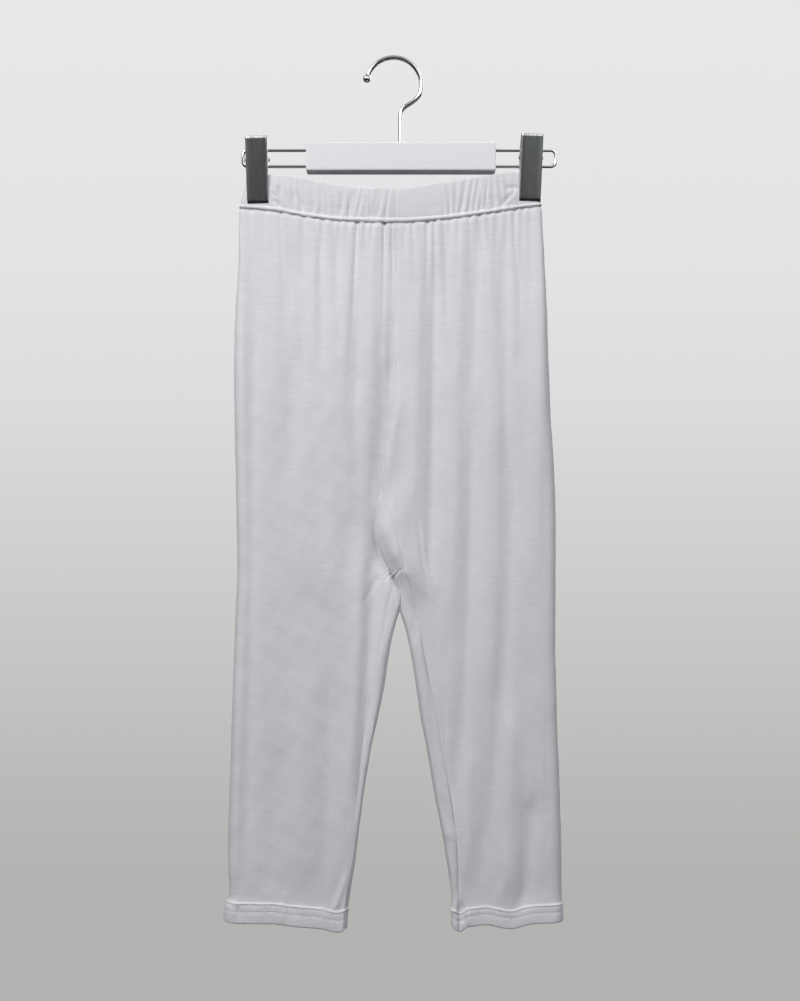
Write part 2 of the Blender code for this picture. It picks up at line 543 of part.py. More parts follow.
def clip(row, finish, pin_finish, rod_bores):
    """A clip: two jaws, one nested in the other's flanges, on a riveted pin."""
    carrier = bpy.data.objects.new(row["name"], None)
    parts.objects.link(carrier)
    lean = math.radians(row["lean"])
    carrier.location = Vector((row["x"] - math.sin(lean) * CLIP_HEIGHT / 2, 0, -row["top"])) * MM
    carrier.rotation_euler = (0, -lean, 0)
    pin_bore = rod_cutter(row["name"] + " pin bore", PIN_RADIUS, 40, (0, 0, -PIN_DOWN), "X")
    pin_bore.parent = carrier
    bores = [*rod_bores, pin_bore]
    jaw(row["name"] + "_front_jaw", carrier, 1.0, CLIP_WIDTH, finish, bores)
    jaw(row["name"] + "_back_jaw", carrier, -1.0, CLIP_WIDTH - 2 * (CLIP_STEEL + SEAM_GAP), finish, bores)
    head_radius, head_high = PIN_HEAD
    reach = CLIP_WIDTH / 2 + SEAM_GAP
    profile = [(0, reach + head_high), (head_radius * 0.7, reach + head_high),
               (head_radius, reach + head_high * 0.4), (head_radius, reach), (PIN_RADIUS, reach)]
    profile += [(r, -z) for r, z in reversed(profile)]
    data = bpy.data.meshes.new(row["name"] + "_pin")
    edges = [(i, i + 1) for i in range(len(profile) - 1)]
    data.from_pydata([(r * MM, 0, z * MM) for r, z in profile], edges, [])
    pin = bpy.data.objects.new(row["name"] + "_pin", data)
    parts.objects.link(pin)
    turned = pin.modifiers.new("turned", "SCREW")
    turned.steps = turned.render_steps = 12
    turned.use_merge_vertices = True
    turned.merge_threshold = 0.00001
    turned.use_smooth_shade = False
    pin.rotation_euler = (0, math.pi / 2, 0)
    pin.location = (0, 0, -PIN_DOWN * MM)
    pin.parent = carrier
    pin.data.materials.append(pin_finish)


def clear_scene():
    for thing in list(bpy.data.objects):
        bpy.data.objects.remove(thing, do_unlink=True)


def collection(name):
    made_collection = bpy.data.collections.new(name)
    bpy.context.scene.collection.children.link(made_collection)
    return made_collection


clear_scene()
parts = collection("leggings_on_clip_hanger")
cutters = collection("cutters")
jersey = material("white viscose jersey", (0.78, 0.78, 0.8), 0.75)
columns = (FRONT_COLUMNS, FOLD_COLUMNS, BACK_COLUMNS, INNER_COLUMNS)
shell("leg_right", *leg_grids(RIGHT_LEG, RIGHT_HEM, columns), jersey)
shell("leg_left", *leg_grids(LEFT_LEG, LEFT_HEM, columns), jersey)
waistband(jersey)

chrome = material("chromed steel", (0.62, 0.63, 0.64), 0.12, 1.0)
nickel = material("black nickel steel", (0.13, 0.13, 0.13), 0.35, 1.0)
paint = material("white satin paint on wood", (0.82, 0.82, 0.83), 0.4)
middle_x = (LOOP_LEFT + LOOP_RIGHT) / 2
rod_bores = [
    rod_cutter(f"rod bore {down:.0f}", ROD_RADIUS, LOOP_RIGHT - LOOP_LEFT + 4, (middle_x, 0, -down), "X")
    for down in (LOOP_TOP, LOOP_BOTTOM)
]
stem_bore = rod_cutter("stem bore", WIRE_RADIUS, 2 * (STEM_DEPTH + SEAM_GAP), (STEM_X, 0, -BAR_TOP), "Z")
hanger_hook(chrome)
hanger_bar(paint, [*rod_bores, stem_bore])
hanger_loop(chrome)
for row in CLIPS:
    clip(row, nickel, chrome, rod_bores)
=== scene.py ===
import math

import bmesh
import bpy
import numpy as np
from mathutils import Matrix, Vector


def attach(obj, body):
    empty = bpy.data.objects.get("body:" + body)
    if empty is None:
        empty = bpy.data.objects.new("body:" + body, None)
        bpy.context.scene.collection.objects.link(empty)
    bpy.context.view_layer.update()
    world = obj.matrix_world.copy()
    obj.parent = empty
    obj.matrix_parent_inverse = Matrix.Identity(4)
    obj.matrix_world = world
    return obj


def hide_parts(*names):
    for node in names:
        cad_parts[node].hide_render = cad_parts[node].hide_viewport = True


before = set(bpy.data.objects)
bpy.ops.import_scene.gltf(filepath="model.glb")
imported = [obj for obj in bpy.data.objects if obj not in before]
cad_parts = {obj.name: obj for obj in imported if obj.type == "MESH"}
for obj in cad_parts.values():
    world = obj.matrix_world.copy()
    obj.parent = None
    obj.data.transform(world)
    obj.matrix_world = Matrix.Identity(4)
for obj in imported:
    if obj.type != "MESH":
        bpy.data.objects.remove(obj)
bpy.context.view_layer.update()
print("frame loaded:", len(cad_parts), "nodes")

# Leggings hung by two clips. Front faces -Y, the wearer's right leg is at -X, the origin is inside the hook.
# Tables are in millimetres: "down" is below the origin, x is across. They follow the solids' own.
mm = 0.001
slowNoise = {"octaves": 7, "finer": 0.35, "phases": 6.28, "level": 2.6}


def smoothStep(value, low, high):
    t = np.clip((value - low) / (high - low), 0.0, 1.0)
    return t * t * (3 - 2 * t)


def bell(value, wide):
    return np.exp(-((value / wide) ** 2))


def readTable(table, key, column, at):
    # smooth reading between the rows, without overshoot
    xs, ys = np.array(table[key], float), np.array(table[column], float)
    at = np.clip(at, xs[0], xs[-1])
    slope = np.diff(ys) / np.diff(xs)
    before, after = slope[:-1], slope[1:]
    inner = np.where(before * after > 0, 2 * before * after / (before + after + 1e-12), 0.0)
    tangent = np.concatenate([slope[:1], inner, slope[-1:]])
    i = np.clip(np.searchsorted(xs, at, side="right") - 1, 0, len(xs) - 2)
    h = xs[i + 1] - xs[i]
    t = (at - xs[i]) / h
    return (
        (2 * t**3 - 3 * t**2 + 1) * ys[i]
        + (t**3 - 2 * t**2 + t) * h * tangent[i]
        + (3 * t**2 - 2 * t**3) * ys[i + 1]
        + (t**3 - t**2) * h * tangent[i + 1]
    )


def softNoise(x, down, seed, widths=(26, 90)):
    # slow unevenness of hanging cloth, about -1 to 1: widths are its size across and down
    own = np.random.default_rng(seed)
    total = np.zeros(np.broadcast(x, down).shape)
    for octave in range(slowNoise["octaves"]):
        size = 1.0 / (1 + slowNoise["finer"] * octave)
        across, along = own.normal(0, 1, 2)
        total += size * np.sin(
            across * 2 * math.pi * x / (widths[0] * 2 * size)
            + along * 2 * math.pi * down / (widths[1] * 2 * size)
            + own.uniform(0, slowNoise["phases"]))
    return total / slowNoise["level"]


# materials

def toLinear(hexColour):
    # sRGB hex to linear
    out = []
    for i in (1, 3, 5):
        c = int(hexColour[i:i + 2], 16) / 255
        out.append(c / 12.92 if c <= 0.04045 else ((c + 0.055) / 1.055) ** 2.4)
    return (*out, 1.0)


def addNode(tree, kind, settings=None, links=None):
    node = tree.nodes.new(kind)
    for name, value in (settings or {}).items():
        if hasattr(node, name):
            setattr(node, name, value)
        else:
            node.inputs[name].default_value = value
    for name, source in (links or {}).items():
        tree.links.new(source, node.inputs[name])
    return node


def newMaterial(name, shaderSettings):
    material = bpy.data.materials.new(name)
    material.use_nodes = True
    tree = material.node_tree
    tree.nodes.clear()
    shader = addNode(tree, "ShaderNodeBsdfPrincipled", shaderSettings)
    out = addNode(tree, "ShaderNodeOutputMaterial")
    tree.links.new(shader.outputs["BSDF"], out.inputs["Surface"])
    return material, tree, shader


def colourRamp(tree, source, stops):
    ramp = addNode(tree, "ShaderNodeValToRGB", None, {"Fac": source})
    elements = ramp.color_ramp.elements
    for element, (place, colour) in ((elements[0], stops[0]), (elements[1], stops[-1])):
        element.position, element.color = place, toLinear(colour)
    for place, colour in stops[1:-1]:
        elements.new(place).color = toLinear(colour)
    return ramp


def objectNoise(tree, scale, detail, roughness=0.5):
    # noise that keeps to the object, with so many lumps a metre along x, y and z
    place = addNode(tree, "ShaderNodeTexCoord")
    mapping = addNode(tree, "ShaderNodeMapping", {"Scale": scale}, {"Vector": place.outputs["Object"]})
    return addNode(tree, "ShaderNodeTexNoise", {"Scale": 1.0, "Detail": detail, "Roughness": roughness},
                   {"Vector": mapping.outputs["Vector"]})


jerseyLook = {
    "light": "#EFEFF3",  # bleached viscose, a cool white
    "dark": "#E2E2E8",
    "slubLong": 14.0,  # mm, a thicker stretch of yarn lies along the courses, so it runs across the leg
    "slubThick": 1.1,  # mm, a real yarn is 0.25, drawn as coarse as the render can show
    "waleWide": 0.9,  # mm between the loops' columns, drawn about twice as coarse as they are
    "waleLong": 5.0,
    "patch": (45.0, 60.0),  # mm across and down, where the wash has left the white a little uneven
    "patchShare": 0.4,
    "yarnDeep": 0.00012, "courseDeep": 0.00022,  # metres
    "roughness": 0.78,
    "sheen": 0.18,
}


def jerseyMaterial(look):
    # Fine single jersey knitted of viscose with a little elastane, washed and not pressed. The eye gets a soft,
    # dull sheen, faint streaks across from uneven yarn, and loops too fine to count.
    material, tree, shader = newMaterial("bleached viscose single jersey", {
        "Roughness": look["roughness"], "IOR": 1.47, "Sheen Weight": look["sheen"], "Sheen Roughness": 0.45,
        "Sheen Tint": toLinear("#FFFFFF"), "Specular IOR Level": 0.35})
    perMetre = 1000.0

    def stretched(across, down, detail):
        return objectNoise(tree, (perMetre / across, perMetre / across, perMetre / down), detail, 0.55)

    slub = stretched(look["slubLong"], look["slubThick"], 2.0)
    wale = stretched(look["waleWide"], look["waleLong"], 1.0)
    mottle = stretched(*look["patch"], 3.0)
    streaks = colourRamp(tree, slub.outputs["Fac"], [(0.32, look["dark"]), (0.66, look["light"])])
    patches = colourRamp(tree, mottle.outputs["Fac"], [(0.3, look["dark"]), (0.7, look["light"])])
    colour = addNode(tree, "ShaderNodeMix", {"data_type": "RGBA", "Factor": look["patchShare"]})
    tree.links.new(streaks.outputs["Color"], colour.inputs[6])
    tree.links.new(patches.outputs["Color"], colour.inputs[7])
    tree.links.new(colour.outputs[2], shader.inputs["Base Color"])
    yarn = addNode(tree, "ShaderNodeBump", {"Strength": 0.35, "Distance": look["yarnDeep"]},
                   {"Height": wale.outputs["Fac"]})
    course = addNode(tree, "ShaderNodeBump", {"Strength": 0.5, "Distance": look["courseDeep"]},
                     {"Height": slub.outputs["Fac"], "Normal": yarn.outputs["Normal"]})
    tree.links.new(course.outputs["Normal"], shader.inputs["Normal"])
    return material


# "spread" is how far the roughness varies, "lines" how many polishing lines there are a metre along x, y and z
metalLooks = [
    {"name": "bright chromed steel wire", "light": "#E9EAEC", "dark": "#D6D8DB",
     "roughness": 0.1, "spread": 0.03, "lines": (120.0, 1500.0, 1500.0)},
    {"name": "satin black nickel on pressed steel", "light": "#6C6E6E", "dark": "#646666",
     "roughness": 0.36, "spread": 0.05, "lines": (900.0, 900.0, 60.0)},
    {"name": "black nickel rubbed bright at the bends", "light": "#DADBDC", "dark": "#B4B5B6",
     "roughness": 0.4, "spread": 0.04, "lines": (900.0, 900.0, 60.0)},
]


def metalMaterial(look):
    # A plated metal: it keeps the default IOR, its colour is the plate's, and fine polishing lines run along it.
    base, spread = look["roughness"], look["spread"]
    material, tree, shader = newMaterial(look["name"], {"Metallic": 1.0, "Roughness": base})
    grain = objectNoise(tree, look["lines"], 3.0)
    tone = colourRamp(tree, grain.outputs["Fac"], [(0.35, look["dark"]), (0.65, look["light"])])
    tree.links.new(tone.outputs["Color"], shader.inputs["Base Color"])
    rough = addNode(tree, "ShaderNodeMapRange", {"To Min": base - spread, "To Max": base + spread},
                    {"Value": grain.outputs["Fac"]})
    tree.links.new(rough.outputs["Result"], shader.inputs["Roughness"])
    bump = addNode(tree, "ShaderNodeBump", {"Strength": 0.08, "Distance": 0.00004},
                   {"Height": grain.outputs["Fac"]})
    tree.links.new(bump.outputs["Normal"], shader.inputs["Normal"])
    return material


lacquerLook = {"light": "#F6F6F9", "dark": "#EFF0F4", "roughness": 0.38, "coat": 0.25,
               "pores": (70.0, 900.0, 900.0), "poreDeep": 0.0001}  # pores a metre, and metres deep


def paintMaterial(look):
    # Beech under white satin lacquer, sprayed and rubbed down: an even white, a soft gloss, and pores that just
    # show through the film as shallow lines along the bar.
    material, tree, shader = newMaterial("white satin lacquer on beech", {
        "Roughness": look["roughness"], "IOR": 1.5, "Coat Weight": look["coat"], "Coat Roughness": 0.3})
    pores = objectNoise(tree, look["pores"], 4.0)
    tone = colourRamp(tree, pores.outputs["Fac"], [(0.3, look["dark"]), (0.7, look["light"])])
    tree.links.new(tone.outputs["Color"], shader.inputs["Base Color"])
    bump = addNode(tree, "ShaderNodeBump", {"Strength": 0.12, "Distance": look["poreDeep"]},
                   {"Height": pores.outputs["Fac"]})
    tree.links.new(bump.outputs["Normal"], shader.inputs["Normal"])
    return material


jersey = jerseyMaterial(jerseyLook)
chrome, nickel, edgeNickel = (metalMaterial(look) for look in metalLooks)
lacquer = paintMaterial(lacquerLook)
print("materials made")


# meshes

def addPiece(name, points, faces, materials, crispAngle=50):
    data = bpy.data.meshes.new(name)
    data.from_pydata([tuple(p) for p in np.asarray(points) * mm], [], faces)
    clean = bmesh.new()
    clean.from_mesh(data)
    bmesh.ops.recalc_face_normals(clean, faces=clean.faces)
    clean.to_mesh(data)
    clean.free()
    data.shade_smooth()
    data.set_sharp_from_angle(angle=math.radians(crispAngle))
    piece = bpy.data.objects.new(name, data)
    bpy.context.scene.collection.objects.link(piece)
    for material in materials:
        piece.data.materials.append(material)
    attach(piece, "root")
    return piece


def gridFaces(places):
    # quads between neighbouring rows of point numbers
    return [(a, b, d, c) for upper, lower in zip(places, places[1:])
            for a, b, c, d in zip(upper, upper[1:], lower, lower[1:])]


def wallFaces(sheet, inner):
    # a closed wall: the outer sheet's faces, the same ones on the inner points, and rims along every open edge
    edges = {edge for face in sheet for edge in zip(face, face[1:] + face[:1])}
    rims = [(b, a, a + inner, b + inner) for a, b in edges if (b, a) not in edges]
    return sheet + [tuple(point + inner for point in face[::-1]) for face in sheet] + sorted(rims)


def tubePiece(name, path, radii, material, sides=20, closed=False):
    # a round wire along a path, its radius given at each point
    path = np.array(path, float)
    radii = np.broadcast_to(np.array(radii, float), (len(path),))
    if closed:
        tangent = np.roll(path, -1, axis=0) - np.roll(path, 1, axis=0)
    else:
        tangent = np.gradient(path, axis=0)
    tangent /= np.linalg.norm(tangent, axis=1)[:, None]
    offTheWire = (0.13, 1.0, 0.07)  # any direction that the wire doesn't start along
    normal = np.cross(tangent[0], offTheWire)
    rings = []
    for place, ahead, radius in zip(path, tangent, radii):
        normal = normal - ahead * np.dot(normal, ahead)
        normal /= np.linalg.norm(normal)
        side = np.cross(ahead, normal)
        turn = np.linspace(0, 2 * math.pi, sides, endpoint=False)[:, None]
        rings.append(place + radius * (np.cos(turn) * normal + np.sin(turn) * side))
    count = len(rings)
    faces = []
    for r in range(count if closed else count - 1):
        s = (r + 1) % count
        for c in range(sides):
            d = (c + 1) % sides
            faces.append((r * sides + c, r * sides + d, s * sides + d, s * sides + c))
    if not closed:
        faces.append(tuple(range(sides))[::-1])
        faces.append(tuple((count - 1) * sides + c for c in range(sides)))
    return addPiece(name, np.concatenate(rings), faces, [material])


def smoothPath(points, steps):
    # a rounded run through the points
    points = [np.array(p, float) for p in points]
    padded = [2 * points[0] - points[1], *points, 2 * points[-1] - points[-2]]
    out = []
    for a, b, c, d in zip(padded, padded[1:], padded[2:], padded[3:]):
        for t in np.linspace(0, 1, steps, endpoint=False):
            out.append(0.5 * (2 * b + (c - a) * t + (2 * a - 5 * b + 4 * c - d) * t**2
                              + (3 * b - a - 3 * c + d) * t**3))
    out.append(points[-1])
    return out


# the cloth's form: outline and main folds as in the solids, the folds' heights as the light needs them

clothForm = {
    "seamGap": 0.12, "thick": 1.2, "clipEdges": (-117.2, 118.0), "softDeeper": 1.5,
    "crossDown": 483.0,  # the rise and both inseams meet here, at the front
    "crotchDown": 526.0,  # the legs part here
    "outerTurn": (0.38, 0.5), "innerTurn": 0.28, "lens": (0.38, 0.8), "freeBetween": (150.0, 330.0),
    "flank": 0.8,  # x is a fold's lit or shaded flank, and its middle is this share of "wide" to the right
    "foldFade": (0.22, 0.8),  # a fold is at full height between these shares of its length
    "creaseFade": (-0.05, 0.3, 0.7, 1.05),
    "fineTurn": 40, "fineRun": 900,  # points of a level section
}

bandEdge = {
    "x": (-150.0, -130.0, -109.0, -86.0, -52.0, -17.0, 1.8, 44.0, 78.0, 103.0, 119.0, 140.0, 152.0),
    "top": (109.8, 109.8, 110.2, 113.4, 120.9, 123.6, 123.6, 118.4, 113.3, 108.6, 107.3, 107.0, 107.0),
    "ridgeTop": (138.0, 139.2, 141.4, 146.5, 151.0, 152.2, 152.4, 149.9, 145.6, 141.5, 138.7, 136.9, 136.5),
    "ridgeBottom": (141.3, 142.8, 145.4, 149.8, 154.4, 156.3, 156.6, 153.8, 148.9, 144.8, 142.0, 139.7, 139.2),
}
bandEnds = {"down": (105.0, 122.0, 134.0, 142.0), "left": (-139.0, -141.0, -144.6, -146.2),
            "right": (137.8, 139.0, 139.6, 140.0)}

legDown = (134, 193, 241, 290, 338, 387, 435, 474, 515, 555, 593, 624, 654, 702, 756, 795, 809, 832)
halfDepth = (9, 10.5, 11.5, 12, 12.2, 12.5, 12.8, 13, 13, 13, 13, 12.8, 12.6, 12.2, 11.6, 10.6, 11, 11.2)
rightLeg = {
    "down": legDown, "half": halfDepth,
    "outer": (-146.6, -147.3, -150.3, -151.6, -151.1, -150.3, -149.1, -148.4, -149.6, -151.2, -152.8, -153.8,
              -154.8, -156.2, -157.4, -156.2, -159.9, -160.8),
    "inner": (150, 150, 150, 150, 150, 120, 60, 24, 8.3, -2.8, -8.4, -14.4,
              -21.2, -29.4, -36.2, -43.1, -44.8, -46.0),
}
rightInseam = {
    "down": (483, 490, 502, 515, 537, 555, 591, 624, 654, 702, 756, 795, 809, 832),
    "x": (8.0, 1.0, -1.5, -5.2, -9.0, -12.8, -21.2, -25.5, -29.2, -33.8, -38.7, -44.0, -45.5, -46.4),
}
leftLeg = {
    "down": legDown, "half": halfDepth,
    "outer": (139.8, 142.9, 145.7, 147.3, 149.1, 152.2, 153.9, 153.9, 153.8, 153.7, 154.4, 155.1, 156.2, 157.9,
              159.2, 159.6, 160.2, 160.6),
    "inner": (-150, -150, -150, -150, -150, -120, -50, -12, 3.0, 14.4, 20.9, 25.2,
              31.0, 39.6, 49.6, 54.5, 55.0, 56.0),
}
leftInseam = {
    "down": (483, 490, 497, 515, 544, 555, 591, 624, 654, 702, 756, 795, 809, 832),
    "x": (8.7, 12.0, 14.8, 18.8, 24.7, 27.0, 34.2, 40.7, 45.0, 54.5, 60.0, 61.0, 61.2, 61.2),
}
riseSeam = {
    "down": (134, 276, 324, 348, 370, 390, 409, 419, 427, 438, 452, 463, 472, 483, 504, 526),
    "front": (1.8, 1.8, 2.8, -1.2, -4.8, -8.3, -9.9, -9.1, -6.0, -1.9, 3.1, 5.9, 8.4, 8.4, 7.0, 5.6),
    "back": (1.8, 2.0, 2.4, 2.8, 3.2, 3.6, 4.0, 4.2, 4.4, 4.6, 4.8, 5.0, 5.2, 5.4, 5.6, 5.6),
}
standingFold = {
    "down": (240, 276, 302, 324, 348, 370, 390, 408, 421, 434, 445,
             453, 462, 470, 481, 491, 503, 515, 526, 545, 565, 590),
    "x": (1.8, 1.8, 2.8, 2.8, -1.2, -4.8, -8.3, -10.1, -13.2, -15.0, -16.7,
          -16.0, -13.2, -10.1, -5.0, 0.3, 5.6, 5.6, 5.6, 5.6, 5.6, 5.6),
    "high": (0, 1, 2, 3, 4, 5, 6, 6.5, 6.5, 6.5, 6.5,
             6.2, 5.6, 5, 3.6, 2, 0.8, 0.2, 0, 0, 0, 0),
    "valley": (0, 1.8, 3.5, 5.2, 7, 8.7, 10.4, 11.2, 11.2, 11.2, 11.2,
               11, 10.6, 10, 8.6, 7, 5.4, 4.2, 3.2, 1.8, 0.7, 0),  # how deep the cloth left of the crest lies
}


def rowsBySide(columns, front, back=()):
    sides = (("front", front), ("back", back))
    return {side: [dict(zip(columns, row)) for row in rows] for side, rows in sides}


# start, end, x at the start, middle and end, half width, how far it stands out: the front's rows, then the back's
foldColumns = ("start", "end", "x", "wide", "high")
mainFolds = rowsBySide(foldColumns, (
    (140, 330, (-7, -7, -4), 7, -2.8),
    (430, 735, (-24, -31, -39), 8, -4.2),
    (165, 780, (-26, -36, -50), 10, 3.4),
    (150, 820, (-136, -139, -146), 7, -2.6),
    (150, 420, (-105, -104, -102), 9, -2.2),
    (190, 620, (-64, -66, -70), 12, 2.0),
    (480, 815, (-72, -68, -77), 10, -2.2),
    (200, 440, (12, 14, 12), 8, 2.2),
    (150, 520, (31, 32, 27), 7, -3.5),
    (280, 560, (47, 50, 42), 9, 2.1),
    (300, 740, (66, 64, 48), 8, -2.7),
    (280, 640, (86, 85, 80), 10, 1.8),
    (330, 815, (105, 97, 72), 8, -2.1),
    (600, 815, (103, 103, 103), 9, 3.0),
    (690, 815, (126, 121, 115), 8, -2.4),
), (
    (170, 620, (-16, -24, -34), 11, -4.0),
    (200, 790, (-60, -62, -72), 13, 2.2),
    (150, 700, (-112, -108, -116), 12, -2.0),
    (170, 620, (20, 30, 40), 11, -4.0),
    (220, 790, (70, 74, 88), 13, 2.0),
    (150, 760, (118, 120, 124), 11, -2.0),
))

# the softer folds between them, which only the dressed cloth has
softFolds = rowsBySide(foldColumns, (
    (145, 330, (-90, -90, -89), 6, -0.9),
    (145, 290, (-99, -99, -98), 5, 0.6),
    (145, 300, (-72, -72, -71), 5, -0.9),
    (145, 300, (-80, -80, -80), 5, 0.5),
    (145, 290, (-57, -56, -54), 4.5, -0.9),
    (160, 480, (-48, -52, -42), 7, 0.9),
    (145, 340, (-38, -39, -38), 5, -1.1),
    (150, 310, (-17, -17, -18), 4, -0.6),
    (145, 260, (46, 46, 47), 4, -0.9),
    (145, 330, (57, 57, 52), 6, 0.7),
    (145, 330, (73, 72, 67), 6, -1.1),
    (145, 430, (83, 85, 86), 7, 0.5),
    (145, 420, (99, 100, 104), 6, -1.0),
    (145, 300, (109, 109, 110), 5, 0.6),
    (150, 520, (131, 129, 121), 9, 0.9),
    (250, 700, (147, 150, 151), 5, 0.8),
    (300, 760, (139, 141, 145), 5, -0.7),
    (150, 820, (-145, -149, -154), 4, 0.6),
    (330, 520, (-88, -94, -100), 14, 0.8),
    (560, 800, (-92, -96, -98), 13, 0.9),
    (640, 800, (-118, -120, -126), 12, -0.7),
    (520, 700, (17, 27, 37), 4, 0.9),
    (560, 700, (28, 34, 41), 3, -0.8),
    (520, 660, (-14, -18, -25), 4, 1.0),
    (640, 790, (66, 67, 60), 6, 0.9),
), (
    (150, 330, (-90, -88, -92), 7, 0.9),
    (150, 400, (-42, -44, -50), 7, 1.0),
    (150, 300, (-75, -76, -80), 6, -0.9),
    (150, 340, (48, 50, 54), 7, -0.9),
    (160, 460, (96, 97, 100), 8, 1.0),
    (420, 800, (-94, -96, -104), 11, -1.1),
    (430, 800, (60, 66, 78), 9, -1.4),
    (430, 800, (134, 134, 138), 8, 1.0),
    (520, 800, (-140, -142, -148), 7, 0.9),
    (540, 800, (110, 108, 106), 8, 1.1),
))

# short creases and bumps given one by one: the line they follow as (x, down), half width, height
creaseColumns = ("line", "wide", "high")
handCreases = rowsBySide(creaseColumns, (
    (((22.1, 434), (24.8, 454), (26.1, 472), (30.2, 490), (31.1, 497)), 1.6, -0.8),
    (((25.5, 434), (28.2, 454), (29.5, 472), (33.6, 490), (34.5, 497)), 1.8, 0.5),
    (((112.7, 158), (115.5, 182), (117.6, 204), (118.9, 230), (119.7, 256)), 1.7, -0.7),
    (((9.8, 483), (11.7, 491)), 3.0, 0.9),
    (((2.3, 456), (2.3, 476)), 5.0, 0.9),
    (((-8.0, 412), (-10.8, 433), (-12.4, 452)), 3.5, 0.9),
    (((11.7, 490), (14.6, 513), (17.4, 536)), 2.6, 1.0),
    (((18.3, 536), (18.8, 553)), 2.4, -1.0),
    (((22.1, 538), (25.9, 573)), 2.0, 0.7),
    (((43.8, 694), (50.4, 723)), 1.8, -0.9),
    (((48.5, 692), (55.1, 721)), 1.8, 0.6),
    (((49.4, 727), (53.2, 738)), 2.6, 0.8),
    (((45.6, 600), (49.4, 653), (54.1, 700)), 1.7, -0.5),
    (((-152.0, 745), (-151.5, 783), (-156.9, 797)), 2.6, 0.8),
    (((-148.0, 768), (-148.9, 789), (-150.7, 801)), 1.7, -0.9),
    (((-149.5, 798), (-144.5, 801)), 2.6, 0.8),
    (((-151.0, 803), (-150.5, 811)), 2.4, 0.8),
    (((-145.5, 812), (-142.0, 818)), 2.2, 0.6),
    (((-44.5, 768), (-48.5, 786), (-53.4, 800), (-60.0, 808)), 2.4, 1.1),
    (((-54.5, 778), (-57.0, 799)), 2.6, -0.9),
    (((-99.6, 784), (-103.4, 801)), 1.4, 0.5),
    (((-104.3, 804), (-105.8, 819)), 1.6, 0.5),
    (((52.5, 750), (56.8, 773), (57.1, 788)), 1.9, 0.9),
    (((59.0, 791), (64.0, 793)), 1.9, 0.8),
    (((62.5, 793), (58.8, 801), (56.2, 809)), 1.9, 1.2),
    (((65.0, 797), (64.3, 809), (65.8, 818)), 1.9, -1.4),
    (((68.0, 805), (70.2, 813), (71.6, 820)), 1.7, 0.9),
    (((102.5, 735), (105.6, 775), (99.0, 802)), 4.5, 1.0),
    (((-30.0, 520), (-22.0, 503), (-12.0, 490)), 3.0, -0.7),
    (((44.0, 520), (34.0, 508), (22.0, 500)), 3.0, 0.5),
), (
    (((-30, 470), (-14, 496), (2, 512)), 4.0, -1.2),
    (((38, 466), (24, 492), (12, 510)), 4.0, -1.2),
    (((-24, 486), (-12, 506)), 3.0, 0.8),
    (((34, 486), (22, 508)), 3.0, 0.8),
    (((-120, 735), (-112, 780)), 4.0, 0.8),
    (((112, 745), (104, 790)), 4.0, 0.9),
    (((-60, 690), (-52, 730)), 2.4, -0.6),
    (((66, 680), (60, 722)), 2.4, -0.6),
    (((-150, 790), (-146, 812)), 2.4, 0.8),
    (((150, 792), (147, 812)), 2.4, 0.8),
))

rightHem = {"x": (-161, -143, -117, -95, -69, -53, -45),
            "down": (816.7, 818.0, 818.0, 820.6, 822.8, 826.3, 824.1),
            "deep": 19.6, "needleRows": (1.8, 8.2)}
leftHem = {"x": (55, 63, 69, 75, 87, 105, 111, 122, 132, 160),
           "down": (820.2, 825.5, 821.3, 820.3, 819.1, 822.4, 822.8, 820.3, 818.1, 817.0),
           "deep": 17.6, "needleRows": (1.8, 7.6)}

legCut = {
    "columns": (122, 10, 46, 8),  # front, outer fold, back, round the inner fold
    "grading": 0.45, "saddleColumns": 12, "saddleLeast": 0.05, "innerRun": 8.0,
    "waistSteps": (-0.45, 0.2, 0.9, 1.8, 3.0, 4.4, 6.0, 8.0, 10.2, 12.4, 15.0, 18.0),
    "rowStep": 3.5,
    "hemSteps": (-6, -4.4, -3.2, -2.2, -1.4, -0.7, 0.0, 0.6, 1.2, 1.8, 2.4,
                 3.1, 4.0, 5.2, 6.4, 7.2, 7.8, 8.4, 9.1, 10.4, 12.2, 14.2),
    "edgeSteps": (2.0, 1.1, 0.6, 0.25, 0.0),  # above the hem's lower edge, which is a round fold
    "gathersFront": (-136, -122, -107, -96, -85, -74, -67, -57, -51, -43, -34, -26, -20, -8.5, -2.8,
                     11, 18, 32, 38, 47, 53, 62, 71.5, 81, 90, 99, 107, 115, 121.5, 130),
    "gathersDeep": (0.6, 0.6, 1.1, 0.5, 1.1, 0.5, 1.0, 0.7, 0.7, 0.5, 1.9, 0.6, 0.7, 2.1, 1.1,
                    0.5, 0.7, 1.6, 1.3, 0.5, 0.6, 0.5, 0.8, 1.2, 0.5, 0.7, 0.6, 1.4, 0.8, 0.6),
    "gathersDeeper": 1.5,
    "gathersBack": (-124, 128, 8.4), "backOff": (-2.2, 2.2), "backDeep": (0.5, 1.2),  # from, to, pitch
    "gatherWide": (1.6, 2.7), "gatherLong": (14, 26), "gatherLonger": 9, "gatherLean": (-0.1, 0.1),
    "swell": 0.4, "swellAway": (3.2, 5.0), "swellWide": 2.1, "swellLonger": 1.3,  # the swell beside each gather
    "stitchLong": 2.3, "stitchPitch": 3.1, "stitchThick": 0.34,
}

